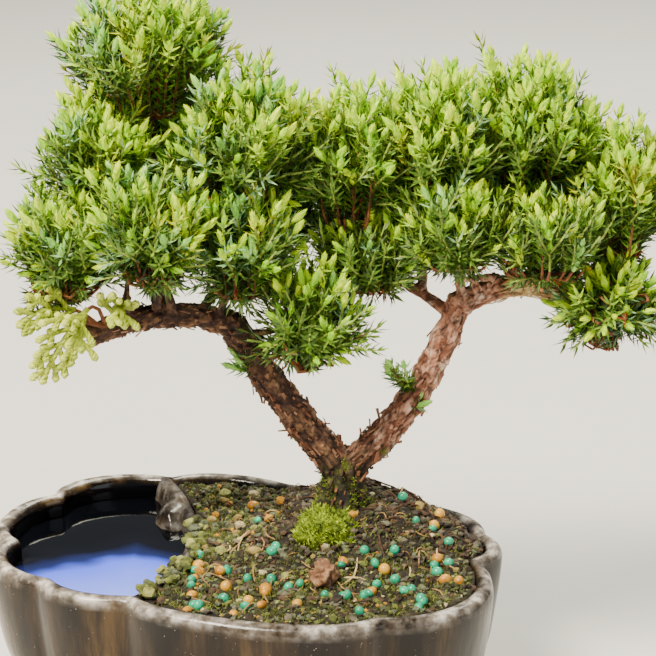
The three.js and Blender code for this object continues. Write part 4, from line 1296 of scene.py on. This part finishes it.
# Left of the first number a shoot starts above the second, seen along SIGHT, so that the limbs show.
SIGHT = spot(0, 0.32, 1)
CLEARED = {"right_low": (200, 204), "right_mid_low": (200, 206), "left_front": (200, 190),
           "left_low": (200, 190), "right_mid": (200, 215), "right_top": (200, 210), "low_centre": (15, 188)}
SPARSE = {"low_centre": 1.35, "right_far_low": 1.15}


# Painted light: sprays high up and on top of their mass get the light and yellow greens, and those deep inside
# get the deep greens. This is partly new and old growth, and partly painted sunlight and painted shade.
def green_for(at, out, far, roll):
    light = 0.5 * out[2] * far + 0.35 * (at[2] - 225) / 100 + 0.5 * (roll() - 0.5)
    if roll() < (0.24 if at[0] < 10 else 0.12):
        return BLUE
    if light > 0.4:
        return LIGHT if roll() < 0.75 else YELLOW
    if light > 0.02:
        return GREEN if roll() < 0.65 else (LIGHT if roll() < 0.5 else YELLOW)
    return DEEP if roll() < 0.55 else GREEN


def grow_mass(name, piles):
    middle, reach, limb, along, shoots, upright = MASSES[name]
    middle, reach = spot(*middle), spot(*reach)
    index = list(MASSES).index(name)
    stem, from_tip = stems[name]
    lowest = 0.12 if from_tip else 0.32
    roll = dice(len(name) * 31 + shoots)
    chance = dice(len(name) * 7 + shoots + 900)
    tube(piles["twigs"], stem.at(np.linspace(0, 1, 8)), np.linspace(1.4, 0.8, 8), 6)
    tips, spacing = [], SPACING * SPARSE.get(name, 1.0)
    for k in range(len(LAYERS) * TRIES):
        far = LAYERS[k // TRIES]
        out = in_turn(k, upright, roll)
        under = min(1.0, max(0.0, 0.35 - out[2]))
        spreading = (0.24 if middle[0] > 30 else 0.4) + 0.5 * under
        grow = unit(out * spreading + UP * upright * (1.15 - 0.45 * under) * (0.85 + 0.3 * roll()))
        lumps = 0.92 + 0.34 * noise.noise(Vector(out * 1.9 + index * 3.1)) + 0.16 * (roll() - 0.5)
        tip = middle + out * reach * far * lumps
        turn = 6.28 * roll()
        length = min(46 + 10 * roll(), max(15, 0.86 * length_inside(tip, -grow, middle, reach)))
        before, level = CLEARED.get(name, (0, 0))
        if tip[0] < before and grow[2] > 0.4:
            length = min(length, (tip @ SIGHT - level) / (grow @ SIGHT))
        start = tip - grow * length
        if tips and min(np.linalg.norm(tip - t) for t in tips) < spacing * (0.9 + 0.5 * (1 - far)):
            continue
        line = start + grow * np.linspace(0, length, 7)[:, None]
        if length < 11 or not in_own_space(index, line[2:], ROOM) or not clear_of_wood(line[1:], ROOM):
            continue
        tips.append(tip)
        dress_shoot(piles, stem, lowest, start, grow, out, tip, length, turn, chance, far)
    return len(tips)


def dress_shoot(piles, stem, lowest, start, grow, out, tip, length, turn, chance, far):
    foot = stem.point(foot_share(stem, start, lowest))
    twig = Bend(foot, start - grow * 0.45 * np.linalg.norm(start - foot), start)
    tube(piles["twigs"], twig.at(np.linspace(0, 1, 5)), np.linspace(0.95, 0.6, 5), 4)
    green = green_for(tip, out, far, chance)
    kind = {DEEP: 1, GREEN: 0 if chance() < 0.5 else 1, BLUE: 2 if chance() < 0.6 else 0}.get(green, 0)
    budding = (0.95 if out[2] > 0.05 else 0.3) * (1.0 if far > 0.8 else 0.2)
    bow = UP * 0.05 + spot(chance() - 0.5, chance() - 0.5, 0) * 0.14
    rusty = int(3 * chance()) if chance() < 0.3 else 0
    spray(piles, start, grow, length, turn, green, kind if chance() < budding else -1, bow, chance, 1.0, rusty)
    across, over = across_and_over(grow)
    first = 0.42 if length > 26 else 0.15
    for j in range(SIDE_SHOOTS):
        share = first + (0.88 - first) * (j + 0.6 * chance()) / SIDE_SHOOTS
        angle = turn + j * GOLDEN + 0.6 * chance()
        side = turned_to(angle, across, over)
        at = start + grow * share * length + bow * share**2 * length
        lean = 0.42 + 0.28 * chance()
        aim = unit(grow * math.cos(lean) + side * math.sin(lean))
        reach_out = min(19, (1.04 - share) * length * (0.75 + 0.3 * chance()) + 5)
        bud_kind = kind if share > 0.5 and chance() < budding else -1
        spray(piles, at, aim, reach_out, angle, green if share > 0.5 else OLDER[green], bud_kind,
              grow * 0.24 + UP * 0.08, chance, 0.92)
    if chance() < 0.6:
        angle = 6.28 * chance()
        side = turned_to(angle, across, over)
        spray(piles, twig.at(0.4), unit(twig.aim(0.4) * 0.7 + side), 9 + 7 * chance(), angle, DEEP, -1,
              UP * 0.12, chance, 0.9, 3 if chance() < 0.45 else 0)


# %% Grow every mass and join each kind
LOOKS = {"needles": (NEEDLES, "foliage"), "buds": (BUDS, "foliage"), "dry": (DRY, "foliage"),
         "twigs": (TWIGS, "bark")}
total = 0
for group, names in GROUPS.items():
    piles = {kind: Heap() for kind in LOOKS}
    for name in names:
        print(name, "shoots:", grow_mass(name, piles))
    for kind, heap in piles.items():
        total += heap.piece(kind + "_" + group, *LOOKS[kind], *["foliage_" + name for name in names])
print("foliage triangles:", total)

# %% [markdown]
# One mass at the left is different: grown-up foliage whose leaves are scales pressed flat on the twig,
# so its twigs look like knobbly yellow-green cords. They hang from the arm in flat fans, and each cord
# ends in a blunt club. A tube whose corners stand out by turns gives the overlap of the scales.

# %% Cords of scale leaves
def cord(heap, path, thick, roll):
    length = np.linalg.norm(np.diff(path, axis=0), axis=1).sum()
    count = max(5, int(length / 1.15))
    share = np.linspace(0, 1, count)
    curve = Bend(path[0], 2 * path[1] - (path[0] + path[2]) / 2, path[2])
    left = (1 - share) * length
    club = thick * (1 + 0.5 * np.exp(-(((left - 2.2) / 2.2) ** 2))) * np.clip(0.25 + left / 1.6, 0, 1)
    tube(heap, curve.at(share), club * (0.92 + 0.16 * roll()), 8, 0, 0.13)
    tip = curve.at(np.linspace(1 - min(0.5, 3.4 / length), 1, 5))
    tube(heap, tip + (tip[-1] - tip[0]) * 0.06, thick * np.array([1.0, 1.5, 1.5, 1.1, 0.4]) * 1.03, 8, 1, 0.1)


def fan(heap, twigs, curve, plane, roll):
    cord(heap, curve.at(np.array([0.3, 0.65, 1.0])), 1.25, roll)
    tube(twigs, curve.at(np.linspace(0, 0.34, 5)), np.linspace(1.0, 0.8, 5), 5)
    sides = max(4, int(curve.length / 5.2))
    for j in range(sides):
        along = 0.3 + 0.62 * j / sides + 0.03 * roll()
        aim = curve.aim(along)
        side = unit(np.cross(aim, plane)) * (1 if j % 2 else -1)
        way = unit(aim + side * (0.75 + 0.3 * roll()) + plane * 0.5 * (roll() - 0.5))
        reach_out = (1 - along) * curve.length * 0.34 + 4.5 + 3 * roll()
        foot = curve.at(along)
        end = foot + way * reach_out + aim * 1.5
        cord(heap, np.array([foot, (foot + end) / 2 + side * 0.8, end]), 1.1, roll)
        if reach_out > 9.5:
            for turned in (-1, 1):
                twist = unit(way - turned * side * 0.9 + plane * 0.4 * (roll() - 0.5))
                root = foot + way * reach_out * (0.45 + 0.1 * turned)
                cord(heap, np.array([root, root + twist * 2.6, root + twist * 5.4]), 1.0, roll)


FANS = ((0.3, (-60, -22, 213), (-84, -26, 163)), (0.45, (-76, -18, 203), (-94, -20, 186)),
        (0.2, (-50, -22, 206), (-48, -28, 188)), (0.6, (-68, -26, 200), (-66, -30, 178)))
stem = stems["hanging"][0]
roll = dice(77)
piles = {kind: Heap() for kind in ("scales", "twigs")}
tube(piles["twigs"], stem.at(np.linspace(0, 1, 8)), np.linspace(1.5, 0.9, 8), 6)
for along, bend, tip in FANS:
    curve = Bend(stem.at(along), bend, tip)
    fan(piles["scales"], piles["twigs"], curve, unit(spot(0.25, -1, 0.3 * (roll() - 0.5))), roll)
print("triangles of cords:", piles["scales"].piece("scale_cords", SCALES, "foliage", "foliage_hanging"))
piles["twigs"].piece("twigs_of_scale_cords", TWIGS, "bark", "foliage_hanging")

# %% [markdown]
# A few short sprigs stand straight on the trunks, where old buds have woken in the bark.

# %% Sprigs on the trunks
SPRIGS = {
    "sprig_right": ("right_trunk", 0.42, (-0.45, -0.6, 0.66), 41, 7, 26),
    "sprig_front": ("right_trunk", 0.3, (0.75, -0.5, 0.43), 42, 3, 13),
    "sprig_left": ("left_trunk", 0.6, (-0.8, -0.5, 0.3), 43, 5, 19),
}
for name, (limb, along, aim, seed, count, longest) in SPRIGS.items():
    piles = {kind: Heap() for kind in LOOKS}
    chance = dice(seed)
    curve, thick, thin = grown[limb]
    out = unit(spot(*aim))
    foot = curve.at(along) + out * (thick + (thin - thick) * along) * 0.8
    for j in range(count):
        aim = unit(out + spot(chance() - 0.5, chance() - 0.5, chance() - 0.2) * 0.8 * min(1, j))
        spray(piles, foot, aim, longest * (1 - 0.09 * j), 6.28 * chance(), BLUE if chance() < 0.5 else GREEN,
              2 if j < 4 else -1, UP * 0.12, chance, 0.82)
    for kind, heap in piles.items():
        if heap.spots:
            heap.piece(kind + "_of_" + name, *LOOKS[kind], name)
